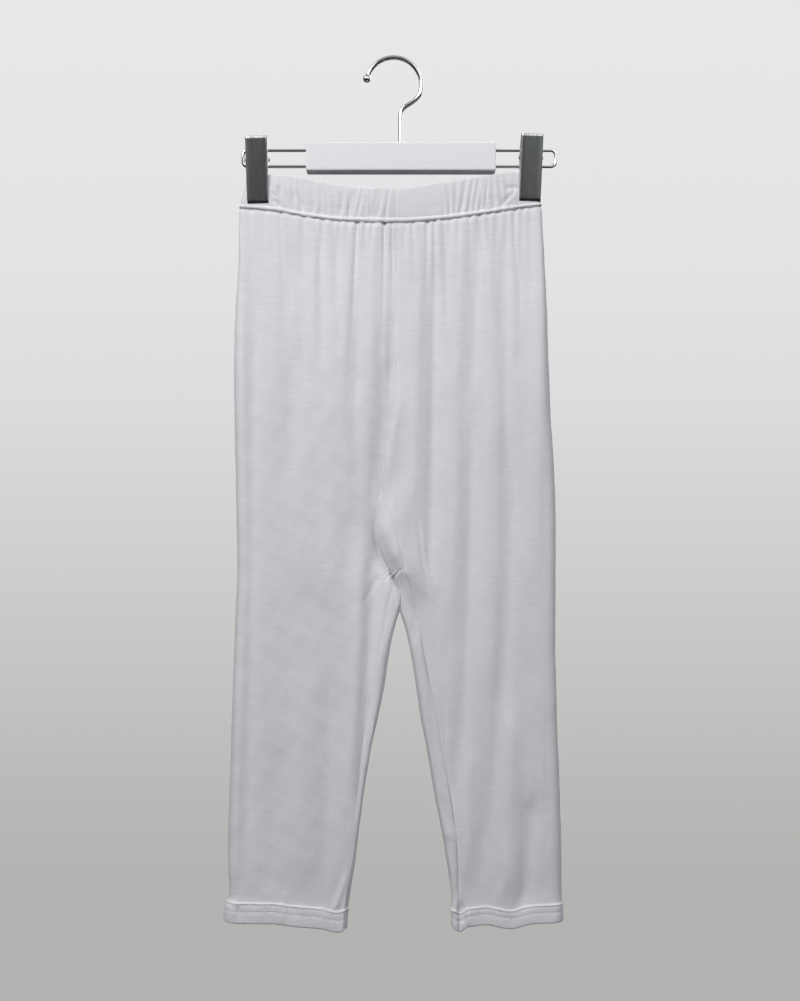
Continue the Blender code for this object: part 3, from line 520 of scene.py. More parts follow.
# what the cloth does at its seams and hems, in millimetres out of the cloth and along it
clothRelief = {
    "uneven": {"front": 0.35, "back": 0.45}, "fineUneven": 0.13,
    "seamDrawn": (-0.26, 1.1), "seamSwell": (0.24, 4.2, 2.4),  # height, how far from the seam, half width
    "pucker": 0.14, "puckerPitch": 6.7, "puckerWide": 5,
    "stripProud": 0.7, "stripBehind": 0.5, "waistDrawn": 0.8,
    "hemThicker": 0.8, "hemEdge": 0.45, "hemPlump": 0.12, "hemUneven": 0.2, "hemWave": 0.12, "hemWavePitch": 5.3,
    "needleDeep": 0.4, "needleWide": 0.75, "edgeRound": 1.6, "edgeIn": 1.3,
}

standingForm = {
    "round": 0.35, "roundLeft": 4, "roundRight": 12, "flatter": 0.8,  # the crest, flatter where the facet is
    "edge": 1.5, "valleyWide": 18.0,
    "facetFrom": (388, 460), "facetTo": (470, 524),  # down the front
    "facetStart": -2.0, "facetWide": 13.0, "facetFades": 18.0, "facetHigh": 7.8,
}


def standingRelief(x, down):
    # a rounded crest, a sharp drop into the valley on its left, and a lit facet that climbs to its right
    form = standingForm
    high, crest, deep = (readTable(standingFold, "down", column, down) for column in ("high", "x", "valley"))
    left, right = np.maximum(crest - x, 0), np.maximum(x - crest, 0)
    valley = deep * smoothStep(left, 0.0, form["edge"]) * np.exp(-left / form["valleyWide"])
    shown = smoothStep(down, *form["facetFrom"]) * (1 - smoothStep(down, *form["facetTo"]))
    past = np.maximum(right - form["facetWide"], 0) / form["facetFades"]
    climb = smoothStep(right, form["facetStart"], form["facetWide"]) * np.exp(-(past ** 2))
    rounded = form["round"] * high * (1 - form["flatter"] * shown) * np.exp(
        -((left / form["roundLeft"]) ** 2) - (right / form["roundRight"]) ** 2)
    return rounded - valley + form["facetHigh"] * shown * climb


def foldsRelief(folds, x, down):
    risen, falls = clothForm["foldFade"]
    relief = np.zeros(np.broadcast(x, down).shape)
    for fold in folds:
        t = np.clip((down - fold["start"]) / (fold["end"] - fold["start"]), 0, 1)
        first, middle, last = fold["x"]
        centre = (1 - t) * (1 - 2 * t) * first + 4 * t * (1 - t) * middle + t * (2 * t - 1) * last
        centre = centre + clothForm["flank"] * fold["wide"]
        fade = smoothStep(t, 0.0, risen) * (1 - smoothStep(t, falls, 1.0))
        relief = relief + fold["high"] * fade * bell(x - centre, fold["wide"])
    return relief


def creasesRelief(creases, x, down):
    starts, risen, falls, ends = clothForm["creaseFade"]
    relief = np.zeros(x.shape)
    for crease in creases:
        line = np.array(crease["line"], float)
        run = np.concatenate([[0.0], np.cumsum(np.linalg.norm(np.diff(line, axis=0), axis=1))])
        nearest, place = np.full(x.shape, 1e9), np.zeros(x.shape)
        for a, b, first, last in zip(line, line[1:], run, run[1:]):
            ahead = b - a
            t = np.clip(((x - a[0]) * ahead[0] + (down - a[1]) * ahead[1]) / (ahead @ ahead), 0, 1)
            away = np.hypot(x - a[0] - t * ahead[0], down - a[1] - t * ahead[1])
            closer = away < nearest
            nearest = np.where(closer, away, nearest)
            place = np.where(closer, (first + t * (last - first)) / run[-1], place)
        fade = smoothStep(place, starts, risen) * (1 - smoothStep(place, falls, ends))
        relief += crease["high"] * fade * bell(nearest, crease["wide"])
    return relief


def clipPinch(x, down):
    low, high = clothForm["clipEdges"]
    flat, power = clothForm["lens"]
    between = np.clip((x - low) / (high - low), 0, 1)
    lens = flat + (1 - flat) * np.sin(math.pi * between) ** power
    return lens + (1 - lens) * smoothStep(down, *clothForm["freeBetween"])


def legSection(leg, down):
    # one level section, from the inner fold along the front to the outer fold, and along the back again
    outer, inner, half = (readTable(leg, "down", column, down) for column in ("outer", "inner", "half"))
    sign = 1.0 if outer > inner else -1.0
    tight, freed = clothForm["outerTurn"]
    outerTurn = tight * half + freed * half * smoothStep(down, *clothForm["freeBetween"])
    innerTurn = clothForm["innerTurn"] * half
    start, stop = inner + sign * innerTurn, outer - sign * outerTurn
    quarter = np.linspace(0, math.pi / 2, clothForm["fineTurn"])
    run = np.linspace(start, stop, clothForm["fineRun"])[1:-1]
    x = np.concatenate([inner + sign * innerTurn * (1 - np.cos(quarter)), run,
                        stop + sign * outerTurn * np.sin(quarter)])
    rise = np.concatenate([np.sin(quarter), np.ones_like(run), np.cos(quarter)])
    depth = half * clipPinch(x, down)
    deeper = clothForm["softDeeper"]
    front, back = (foldsRelief(mainFolds[side], x, down) + deeper * foldsRelief(softFolds[side], x, down)
                   for side in ("front", "back"))
    front = front + standingRelief(x, down)
    points = np.concatenate([np.stack([x, -(depth * rise + front * rise**2)], 1),
                             np.stack([x, depth * rise + back * rise**2], 1)[::-1][1:]])
    marks = {"outerStart": len(quarter) + len(run), "outerEnd": len(points) - len(quarter) - len(run),
             "innerBack": len(points) - len(quarter)}
    return points, marks, sign


def legRow(leg, inseam, down, cut):
    # The panel's points at one level: the main run, from its front seam round the outer fold to the back seam or
    # the inner fold, and the saddle, from there to the inseam on the front. For each point its place, the way out
    # of the cloth, and how far it is from the seams before and after it.
    points, marks, sign = legSection(leg, down)
    length = np.concatenate([[0.0], np.cumsum(np.linalg.norm(np.diff(points, axis=0), axis=1))])
    total, middle, gap = length[-1], len(points) // 2, clothForm["seamGap"] / 2

    def frontPlace(x):
        return np.interp(sign * x, sign * points[:middle, 0], length[:middle])

    riseX = readTable(riseSeam, "down", "front", down) + sign * gap
    crossed, parted = down > clothForm["crossDown"], down > clothForm["crotchDown"]
    seam = frontPlace(readTable(inseam, "down", "x", down)) if crossed else frontPlace(riseX)
    start = seam + gap * crossed
    noSeam = 99.0  # mm, too far off for a seam to show
    backX = readTable(riseSeam, "down", "back", down) + sign * gap
    backPlace = np.interp(sign * backX, sign * points[middle:, 0][::-1], length[middle:][::-1])
    end = total if parted else backPlace
    innerBack = min(length[marks["innerBack"]], end - cut["innerRun"])
    graded = np.linspace(0, 1, cut["columns"][0], endpoint=False)
    graded = graded * (1 - cut["grading"]) + cut["grading"] * graded**2  # closer together by the seam
    stops = (length[marks["outerStart"]], length[marks["outerEnd"]], innerBack, end)
    places = [start + (stops[0] - start) * graded]
    places += [np.linspace(a, b, n, endpoint=False) for a, b, n in zip(stops, stops[1:], cut["columns"][1:])]
    places = np.concatenate(places + [[end]])

    def at(place, axis):
        return np.interp(np.mod(place, total), length, points[:, axis])

    def placed(run, before, after):
        reach = 0.8  # mm either way, for the cloth's direction
        alongX = at(run + reach, 0) - at(run - reach, 0)
        alongY = at(run + reach, 1) - at(run - reach, 1)
        outward = np.stack([alongY, -alongX], 1) / np.hypot(alongX, alongY)[:, None] * sign
        return np.stack([at(run, 0), at(run, 1)], 1), outward, before, after

    main = placed(places, places - start, np.full(places.shape, noSeam) if parted else end - places)
    saddle = None
    if crossed:
        first = 0.0 if parted else min(frontPlace(riseX), seam - gap - cut["saddleLeast"])
        run = np.linspace(first, seam - gap, cut["saddleColumns"])
        saddle = placed(run, np.full(run.shape, noSeam) if parted else run - first, seam - gap - run)
    return main, saddle


def belowBandRelief(x, below, side, cut):
    # short gathers that the elastic draws in under the waist seam
    own = np.random.default_rng(5 if side == "front" else 6)
    if side == "front":
        gathers = [(centre, cut["gathersDeeper"] * deep)
                   for centre, deep in zip(cut["gathersFront"], cut["gathersDeep"])]
    else:
        gathers = [(centre + own.uniform(*cut["backOff"]), own.uniform(*cut["backDeep"]))
                   for centre in np.arange(*cut["gathersBack"])]
    relief, under = np.zeros(x.shape), np.maximum(below, 0)
    for centre, deep in gathers:
        wide = own.uniform(*cut["gatherWide"])
        long = own.uniform(*cut["gatherLong"]) + cut["gatherLonger"] * deep
        away = x - centre - own.uniform(*cut["gatherLean"]) * below
        relief -= deep * bell(away, wide) * np.exp(-under / long)
        beside = bell(away - own.uniform(*cut["swellAway"]), cut["swellWide"])
        relief += cut["swell"] * deep * beside * np.exp(-under / (long * cut["swellLonger"]))
    return relief


def legSurface(rows, levels, hem, hemTop, cut, seed, isSaddle):
    # the outer and inner points of the panel's rows, with the fine relief of cloth, seams and hem
    waist = float(np.mean(bandEdge["ridgeBottom"])) + clothForm["seamGap"]
    bottom = float(np.mean(hem["down"]))
    xy, outward, before, after = (np.array([row[k] for row in rows]) for k in range(4))
    nominal = np.array(levels)[:, None]
    x = xy[:, :, 0]
    seam = readTable(bandEdge, "x", "ridgeBottom", x) + clothForm["seamGap"] - waist
    edge = readTable(hem, "x", "down", x) - bottom
    level = nominal + seam * (1 - smoothStep(nominal, waist, waist + 150)) + edge * smoothStep(
        nominal, hemTop - 60, hemTop)
    below = nominal - waist
    frontShare = smoothStep(-outward[:, :, 1], -0.25, 0.35)
    form = clothRelief
    relief = np.zeros(x.shape)
    for side, share in (("front", frontShare), ("back", 1 - frontShare)):
        own = creasesRelief(handCreases[side], x, level) + belowBandRelief(x, below, side, cut)
        slow = softNoise(x, level, seed + (0 if side == "front" else 50))
        own += form["uneven"][side] * slow * smoothStep(below, 0, 60)
        own += form["fineUneven"] * softNoise(x, level, seed + 7, (9, 22)) * smoothStep(below, 0, 20)
        relief += share * own
    (drawn, drawnWide), (swell, swellAway, swellWide) = form["seamDrawn"], form["seamSwell"]
    for away in (before, after):  # the seams draw the cloth in, with small puckers
        relief += drawn * bell(away, drawnWide) + swell * bell(away - swellAway, swellWide)
        drift = 0.9 * softNoise(x, level, seed + 3, (40, 40))
        puckers = form["pucker"] * np.sin(2 * math.pi * level / form["puckerPitch"] + drift)
        relief += puckers * bell(away, form["puckerWide"])
    settled = smoothStep(nominal, clothForm["crotchDown"] - 20, clothForm["crotchDown"] + 50)
    if isSaddle:  # the strip behind each inseam stands a little proud of the front
        relief += form["stripProud"] * settled * smoothStep(after, 0.4, 1.8) * (1 - smoothStep(after, 6, 14))
    else:
        relief -= form["stripBehind"] * settled * smoothStep(before, 0.0, 0.6) * (1 - smoothStep(before, 3, 12))
    relief -= form["waistDrawn"] * bell(below - 0.6, 2.0)
    # the turned-up hem: thicker from its raw edge down, pressed in along both needle rows, a round fold below
    fromTop = nominal - hemTop
    hemmed = form["hemThicker"] * smoothStep(fromTop, -0.9, 0.6)
    shape = hemmed + form["hemEdge"] * bell(fromTop - 0.3, 1.1) + form["hemPlump"] * smoothStep(fromTop, 9, 14)
    for needle in hem["needleRows"]:
        shape = shape - form["needleDeep"] * bell(fromTop - needle, form["needleWide"])
    shape = shape + form["hemUneven"] * smoothStep(fromTop, 0, 2) * softNoise(x, level, seed + 21, (7, 30))
    wave = np.sin(2 * math.pi * (x + 0.2 * level) / form["hemWavePitch"])
    shape = shape + form["hemWave"] * smoothStep(fromTop, -4, 0) * wave * bell(fromTop - 4, 5)
    toEdge = np.clip((bottom - nominal) / form["edgeRound"], 0, 1)
    roundOff = form["edgeIn"] * (1 - np.sqrt(np.clip(1 - (1 - toEdge) ** 2, 0, 1)))
    outerXy = xy + outward * (relief + shape - roundOff)[:, :, None]
    innerXy = xy + outward * (relief * 0.85 - clothForm["thick"] - hemmed * 0.6 + roundOff * 0.4)[:, :, None]
    depth = -level[:, :, None]
    return np.concatenate([outerXy, depth], 2), np.concatenate([innerXy, depth], 2), outward


def legPiece(name, leg, inseam, hem, cut, seed):
    waist = float(np.mean(bandEdge["ridgeBottom"])) + clothForm["seamGap"]
    bottom = float(np.mean(hem["down"]))
    hemTop = bottom - hem["deep"]
    levels = [waist + step for step in cut["waistSteps"]]
    first, last = levels[-1], hemTop + cut["hemSteps"][0]
    levels += list(np.linspace(first, last, int((last - first) / cut["rowStep"]) + 1)[1:-1])
    levels += [clothForm["crossDown"] + 0.2, clothForm["crotchDown"], clothForm["crotchDown"] + 0.8]
    levels += [hemTop + step for step in cut["hemSteps"]] + [bottom - step for step in cut["edgeSteps"]]
    levels.sort()
    rows = [legRow(leg, inseam, down, cut) for down in levels]
    crossRow = next(r for r, down in enumerate(levels) if down > clothForm["crossDown"])
    partRow = next(r for r, down in enumerate(levels) if down > clothForm["crotchDown"])
    mainOuter, mainInner, outward = legSurface(
        [main for main, saddle in rows], levels, hem, hemTop, cut, seed, False)
    saddleOuter, saddleInner, saddleOut = legSurface(
        [saddle for main, saddle in rows[crossRow:]], levels[crossRow:], hem, hemTop, cut, seed, True)
    points = np.concatenate([grid.reshape(-1, 3) for grid in (mainOuter, saddleOuter, mainInner, saddleInner)])
    mainPlaces = np.arange(mainOuter.shape[0] * mainOuter.shape[1]).reshape(mainOuter.shape[:2])
    saddlePlaces = np.arange(saddleOuter.shape[0] * saddleOuter.shape[1]).reshape(saddleOuter.shape[:2])
    saddlePlaces += mainPlaces.size
    inner = mainPlaces.size + saddlePlaces.size
    # where the legs have parted, main run and saddle are one cloth round the inner fold
    saddlePlaces[partRow - crossRow:, 0] = mainPlaces[partRow:, -1]
    sheet = gridFaces(mainPlaces.tolist()) + gridFaces(saddlePlaces.tolist())
    corner = (mainPlaces[partRow - 1, -1], saddlePlaces[partRow - 1 - crossRow, 0], mainPlaces[partRow, -1])
    sheet.append(tuple(int(place) for place in corner))
    piece = addPiece(name, points, wallFaces(sheet, inner), [jersey], 60)
    rowsOfThread = []
    for needle in hem["needleRows"]:
        r = int(np.argmin(np.abs(np.array(levels) - hemTop - needle)))
        line = np.concatenate([mainOuter[r], saddleOuter[r - crossRow][1:]])
        rowsOfThread.append((line, np.concatenate([outward[r], saddleOut[r - crossRow][1:]])))
    return piece, rowsOfThread


def threadPiece(name, runs, look, closed=False):
    # a row of short raised stitches along each run of points, half sunk in the cloth
    points, faces = [], []
    sides, rings = 6, ((0.0, 0.35), (0.18, 0.9), (0.5, 1.0), (0.82, 0.9), (1.0, 0.35))
    for line, outward in runs:
        line = np.array(line)
        out3 = np.concatenate([outward, np.zeros((len(outward), 1))], 1) if outward.shape[1] == 2 else outward
        run = np.concatenate([[0.0], np.cumsum(np.linalg.norm(np.diff(line, axis=0), axis=1))])
        for start in np.arange(1.0, run[-1] - look["stitchLong"], look["stitchPitch"]):
            ends = (start, start + look["stitchLong"])
            a, b = (np.array([np.interp(s, run, line[:, k]) for k in range(3)]) for s in ends)
            up = np.array([np.interp(start + look["stitchLong"] / 2, run, out3[:, k]) for k in range(3)])
            up /= np.linalg.norm(up)
            ahead = (b - a) / np.linalg.norm(b - a)
            side = np.cross(ahead, up)
            base = len(points)
            for share, size in rings:
                high = look["stitchThick"] * (0.35 * math.sin(math.pi * share) + 0.1)
                middle = a + (b - a) * share + up * high
                for c in range(sides):
                    turn = 2 * math.pi * c / sides
                    away = math.cos(turn) * side + math.sin(turn) * up
                    points.append(middle + look["stitchThick"] * size * away)
            for r in range(len(rings) - 1):
                for c in range(sides):
                    d = (c + 1) % sides
                    k = base + r * sides
                    faces.append((k + c, k + d, k + sides + d, k + sides + c))
            faces.append(tuple(base + c for c in range(sides))[::-1])
            faces.append(tuple(base + (len(rings) - 1) * sides + c for c in range(sides)))
    return addPiece(name, points, faces, [jersey])


legRight, rightRows = legPiece("legRight", rightLeg, rightInseam, rightHem, legCut, 100)
legLeft, leftRows = legPiece("legLeft", leftLeg, leftInseam, leftHem, legCut, 200)
rightHemStitches = threadPiece("legRightHemStitches", rightRows, legCut)
leftHemStitches = threadPiece("legLeftHemStitches", leftRows, legCut)
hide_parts("leg_right")
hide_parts("leg_left")
print("legs made:", len(legRight.data.polygons), "and", len(legLeft.data.polygons), "faces")


# waistband: a casing over elastic

bandCut = {
    "wall": 3.0, "ridgeProud": 1.3, "join": 1.8, "flatEnd": 46.5, "turn": 3.4,
    "frontStep": 0.75, "backStep": 1.3,
    "gatherPitch": (3.8, 8.0), "gatherDeep": (0.45, 1.3), "gatherWide": (1.1, 2.5), "gatherLean": 6.0,
    "gathered": (-119.0, 119.0), "heldLeft": (-119, -110), "heldRight": (112, 120), "unheld": 0.15,
    "swell": 0.4, "swellAway": 2.9, "swellWide": 1.6, "dimpleDeep": 1.0, "dimpleWide": 1.7,
    "dimples": (-97.5, -86.2, -80.6, -76.8, -69.3, -63.6, -57.0, -52.3, -42.0, -21.3, -16.5, -7.1,
                53.2, 62.7, 72.1, 81.5, 89.0, 96.6, 104.1),
    "drop": 3.0,  # the back edge hangs this much lower
    "topRound": ((0.2, 0.75), (0.6, 0.35), (1.2, 0.12), (2.0, 0.0)),  # below the top edge, in from the face
    "puff": 0.35, "topUneven": 0.25, "faceUneven": 0.12,
    "crown": 0.86, "cordUneven": 0.16, "cordStitch": 0.1, "cordPitch": 2.6, "cordDips": 0.35,
    "stitchLong": 2.0, "stitchPitch": 2.7, "stitchThick": 0.3,
}
bandCreases = rowsBySide(creaseColumns, (
    (((-116.4, 132.6), (-109.8, 137.8), (-104.1, 142.9)), 1.6, -1.4),
    (((-116.4, 126.9), (-109.8, 131.2)), 1.6, -1.0),
    (((-113.0, 116.0), (-108.0, 124.0)), 1.8, 0.7),
    (((-95.0, 126.0), (-90.0, 134.0), (-85.0, 143.0)), 1.7, -1.1),
    (((-101.0, 120.0), (-98.0, 130.0)), 1.8, 0.7),
    (((-39.0, 128.0), (-43.0, 149.0)), 1.7, -1.1),
    (((104.0, 123.8), (112.5, 122.6), (121.0, 123.0)), 1.6, -1.3),
    (((100.3, 141.1), (106.9, 134.5), (114.4, 126.9)), 1.6, -1.3),
    (((106.5, 138.0), (113.0, 131.5), (118.0, 127.5)), 2.2, 0.8),
))


def bandHalf(x):
    # the band is as deep as the legs are at their top
    level = 140.0
    return readTable(rightLeg, "down", "half", level) * clipPinch(x, level)


def bandGathers(x, share, side, cut):
    # upright gathers from the top edge (share 0) to the ridge (share 1), uneven in depth, width and lean
    own = np.random.default_rng(31 if side == "front" else 32)
    centres, (place, last) = [], cut["gathered"]
    while place < last:
        centres.append(place)
        place += own.uniform(*cut["gatherPitch"])
    relief = np.zeros(np.broadcast(x, share).shape)
    smooth = np.zeros_like(x)
    if side == "front":
        join, flatEnd = cut["join"], cut["flatEnd"]
        smooth = smoothStep(x, join - 4, join + 1) * (1 - smoothStep(x, flatEnd - 0.5, flatEnd + 1.5))
    for centre in centres:
        deep, wide = own.uniform(*cut["gatherDeep"]), own.uniform(*cut["gatherWide"])
        lean, top = own.uniform(-1, 1) * cut["gatherLean"], own.uniform(0.2, 0.9)
        away = x - centre - lean * (share - 0.5)
        fade = top + (1 - top) * smoothStep(share, 0.1, 0.8)
        beside = bell(away - cut["swellAway"], cut["swellWide"])
        relief = relief - deep * fade * bell(away, wide) + cut["swell"] * deep * fade * beside
    if side == "front":
        for centre in cut["dimples"]:
            dimple = bell(x - centre, cut["dimpleWide"]) * smoothStep(share, 0.55, 0.96)
            relief = relief - cut["dimpleDeep"] * dimple
    held = smoothStep(x, *cut["heldLeft"]) * (1 - smoothStep(x, *cut["heldRight"]))
    return relief * (1 - smooth) * (cut["unheld"] + (1 - cut["unheld"]) * held)


def bandPiece(name, cut):
    gap = clothForm["seamGap"] / 2
    left, right, turn = bandEnds["left"][2], bandEnds["right"][2], cut["turn"]
    frontLeft = np.arange(cut["join"] - gap, left + turn, -cut["frontStep"])
    frontRight = np.arange(right - turn, cut["join"] + gap, -cut["frontStep"])
    back = np.arange(left + turn, right - turn, cut["backStep"])
    angles = np.radians(np.linspace(-75, 75, 9))
    halfEnd = float(bandHalf(np.array([left + turn]))[0])
    rightHalf = float(bandHalf(np.array([right - turn]))[0])
    route = [(x, -y, 0) for x, y in zip(frontLeft, bandHalf(frontLeft))]
    route += [(left + turn - turn * math.cos(a), halfEnd * math.sin(a), -1) for a in angles]
    route += [(x, y, 0) for x, y in zip(back, bandHalf(back))]
    route += [(right - turn + turn * math.cos(a), -rightHalf * math.sin(a), 1) for a in angles]
    route += [(x, -y, 0) for x, y in zip(frontRight, bandHalf(frontRight))]
    route.append((cut["join"] + gap, -float(bandHalf(np.array([cut["join"] + gap]))[0]), 0))
    route = np.array(route)
    x, y = route[:, 0], route[:, 1]
    tangent = np.gradient(route[:, :2], axis=0)
    outward = np.stack([-tangent[:, 1], tangent[:, 0]], 1)
    outward /= np.linalg.norm(outward, axis=1)[:, None]
    onFront = y < 0
    top = readTable(bandEdge, "x", "top", x) + cut["drop"] * smoothStep(y, -4, 6)
    top = top + cut["topUneven"] * softNoise(x, y, 61, (8, 8)) * (1 - smoothStep(np.abs(x), 108, 118))
    ridgeTop = readTable(bandEdge, "x", "ridgeTop", x)
    ridgeBottom = readTable(bandEdge, "x", "ridgeBottom", x)
    wall = cut["wall"]
    levels, reaches = [], []

    def addRow(level, reach):
        levels.append(level)
        reaches.append(np.broadcast_to(reach, x.shape))

    def outerRelief(share):
        share = np.full(x.shape, share)
        level = top + (ridgeTop - top) * share
        relief = np.where(onFront, bandGathers(x, share, "front", cut), bandGathers(x, share, "back", cut))
        relief = relief + np.where(onFront, creasesRelief(bandCreases["front"], x, level), 0.0)
        relief = relief + cut["faceUneven"] * softNoise(x, level, 71, (10, 14))
        seamEnds = bell(x - cut["join"], 1.3) + 0.7 * bell(x - cut["flatEnd"], 0.8)
        return relief - 0.45 * np.where(onFront, seamEnds, 0.0)

    addRow(top, -wall / 2)
    for drop, inset in cut["topRound"]:
        addRow(top + drop, -inset + outerRelief(0.04) * smoothStep(drop, -0.5, 2))
    for share in np.linspace(0.12, 0.9, 15):
        puff = cut["puff"] * math.sin(math.pi * share)
        addRow(top + (ridgeTop - top) * share, puff + outerRelief(share))
    addRow(ridgeTop - 1.2, -0.1 + outerRelief(0.95))
    addRow(ridgeTop - 0.3, -0.35 + 0.7 * outerRelief(0.99))
    # the ridge is overlocked: its crown is uneven, with a small rise at each stitch and a dip at the gathers
    cord = cut["ridgeProud"] * cut["crown"] + cut["cordUneven"] * softNoise(x, y, 81, (5, 5))
    cord = cord + cut["cordStitch"] * np.sin(2 * math.pi * x / cut["cordPitch"])
    cord = cord + cut["cordDips"] * np.where(onFront, bandGathers(x, np.ones_like(x), "front", cut), 0.0)
    for share in np.linspace(0.06, 0.97, 9):
        addRow(ridgeTop + (ridgeBottom - ridgeTop) * share, cord * math.sin(math.pi * share) ** 0.8)
    addRow(ridgeBottom, np.full(x.shape, -0.5))
    addRow(ridgeBottom, np.full(x.shape, -wall))
    for share in (0.85, 0.6, 0.35, 0.15):
        level = top + (ridgeBottom - top) * share
        addRow(level, -wall + 0.25 * softNoise(x, level, 91, (7, 30)) * (np.abs(x) < 112))
    addRow(top + 1.0, np.full(x.shape, -wall + 0.5))
    addRow(top + 0.25, np.full(x.shape, -wall + 0.9))
    levels, reaches = np.array(levels), np.array(reaches)
    leftIn, rightIn = (np.interp(levels, bandEnds["down"], np.array(bandEnds[side]) - end)
                       for side, end in (("left", left), ("right", right)))
    narrowing = np.where(x < -120, leftIn, 0.0) + np.where(x > 120, rightIn, 0.0)
    narrowing = narrowing * smoothStep(np.abs(x), 119, 126)
    px = x + outward[:, 0] * reaches + narrowing
    py = y + outward[:, 1] * reaches
    grid = np.stack([px, py, -levels], 2)
    rows, columns = grid.shape[:2]
    faces = []
    for r in range(rows):
        s = (r + 1) % rows
        for c in range(columns - 1):
            faces.append((r * columns + c, r * columns + c + 1, s * columns + c + 1, s * columns + c))
    faces.append(tuple(r * columns for r in range(rows)))
    faces.append(tuple(r * columns + columns - 1 for r in range(rows))[::-1])
    piece = addPiece(name, grid.reshape(-1, 3), faces, [jersey], 60)
    # the upright row of stitches where the flat stretch ends
    c = int(np.argmin(np.abs(px[8] - cut["flatEnd"] - 0.9) + 100 * (y > 0)))
    run = grid[3:20, c]
    return piece, [(run, np.repeat(np.array([[outward[c, 0], outward[c, 1]]]), len(run), axis=0))]


waistband, bandRows = bandPiece("waistbandCasing", bandCut)
bandStitches = threadPiece("waistbandStitches", bandRows, bandCut)
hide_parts("waistband")
print("waistband made:", len(waistband.data.polygons), "faces")


# hanger

hookBend = {
    "wire": 2.05, "ball": 3.6, "bend": 26.2, "from": 167.0, "to": -14.0,
    "shoulder": ((24.3, -33.6), (20.6, -38.0), (15.2, -42.0), (9.8, -45.6), (7.2, -48.8), (6.4, -53.0),
                 (6.4, -60.0)),
    "stem": ((6.4, -66.0), (6.4, -74.0), (6.4, -84.0)),
}


def hookPiece(look):
    centreZ = -(look["bend"] - look["wire"])
    turns = np.radians(np.linspace(look["from"], look["to"], 72))
    path = [(look["bend"] * math.cos(a), 0.0, centreZ + look["bend"] * math.sin(a)) for a in turns]
    path += smoothPath([path[-1]] + [(x, 0.0, z) for x, z in look["shoulder"]], 8)[1:]
    path += [(x, 0.0, z) for x, z in look["stem"]]
    path = np.array(path)
    start = path[0]
    back = start - path[1]
    back /= np.linalg.norm(back)
    reach = math.sqrt(look["ball"] ** 2 - look["wire"] ** 2)
    along = np.linspace(look["ball"], -reach, 14)[:-1]
    tip = [start + back * s for s in along]
    tipRadii = [max(0.25, math.sqrt(max(0.0, look["ball"] ** 2 - s * s))) for s in along]
    rest = [p for p in path if np.linalg.norm(p - start) > reach]
    radii = tipRadii + [look["wire"]] * len(rest)
    return tubePiece("hangerHook", tip + rest, radii, chrome, 28)


loopBend = {"rod": 1.4, "left": -143.2, "right": 153.8, "top": -86.4, "bottom": -101.7, "corner": 4.5}


def loopPiece(look):
    corner = look["corner"]
    left, right = look["left"] + corner, look["right"] - corner
    top, bottom = look["top"] - corner, look["bottom"] + corner
    path = []
    for x, z, first in ((right, top, 90), (right, bottom, 0), (left, bottom, -90), (left, top, -180)):
        for a in np.radians(np.linspace(first, first - 90, 9)):
            path.append((x + corner * math.cos(a), 0.0, z + corner * math.sin(a)))
    return tubePiece("hangerLoop", path, look["rod"], chrome, 24, closed=True)


hook = hookPiece(hookBend)
loop = loopPiece(loopBend)
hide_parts("hanger_hook")
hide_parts("hanger_loop")

clipMake = {
    "wide": 21.0, "high": 62.8, "steel": 1.0, "bite": 3.8, "spread": 9.0, "gap": 0.3, "bend": 1.9, "rubbed": 0.9,
    "flangeDown": (0.0, 4.0, 9.0, 31.2, 34.0, 35.5), "flangePast": (-6.8, -3.0, 3.2, 3.2, -4.2, -5.0),
    "levels": (2.5, 4.0, 6.5, 9.0, 14.0, 20.0, 26.0, 31.2, 34.0, 35.5, 40.0, 46.0, 52.0, 56.0),
    "lip": ((3.3, 0.0), (2.0, 0.05), (1.1, 0.3), (0.4, 0.75), (0, 1.3)),  # above the lower edge, turned in by
    "pinDown": 20.3, "coil": 3.1, "coilHalf": 5.6, "springWire": 0.55, "springTurns": 7,
    "springArm": ((0.2, 0.9, 1.4), (0.4, 2.6, 5.5), (0.6, 4.6, 10.5)),  # from the coil's end
}
clips = ({"name": "clipRight", "node": "clip_right", "x": -129.2, "top": 74.8, "lean": 1.3},
         {"name": "clipLeft", "node": "clip_left", "x": 130.0, "top": 72.7, "lean": -2.0})


def clipPlace(row, points, look):
    # from the clip's own frame to the hanger's
    lean = math.radians(row["lean"])
    points = np.asarray(points, float)
    x, z = points[..., 0], points[..., 2]
    return np.stack([
        x * math.cos(-lean) + z * math.sin(-lean) + row["x"] - math.sin(lean) * look["high"] / 2,
        points[..., 1],
        -x * math.sin(-lean) + z * math.cos(-lean) - row["top"],
    ], -1)


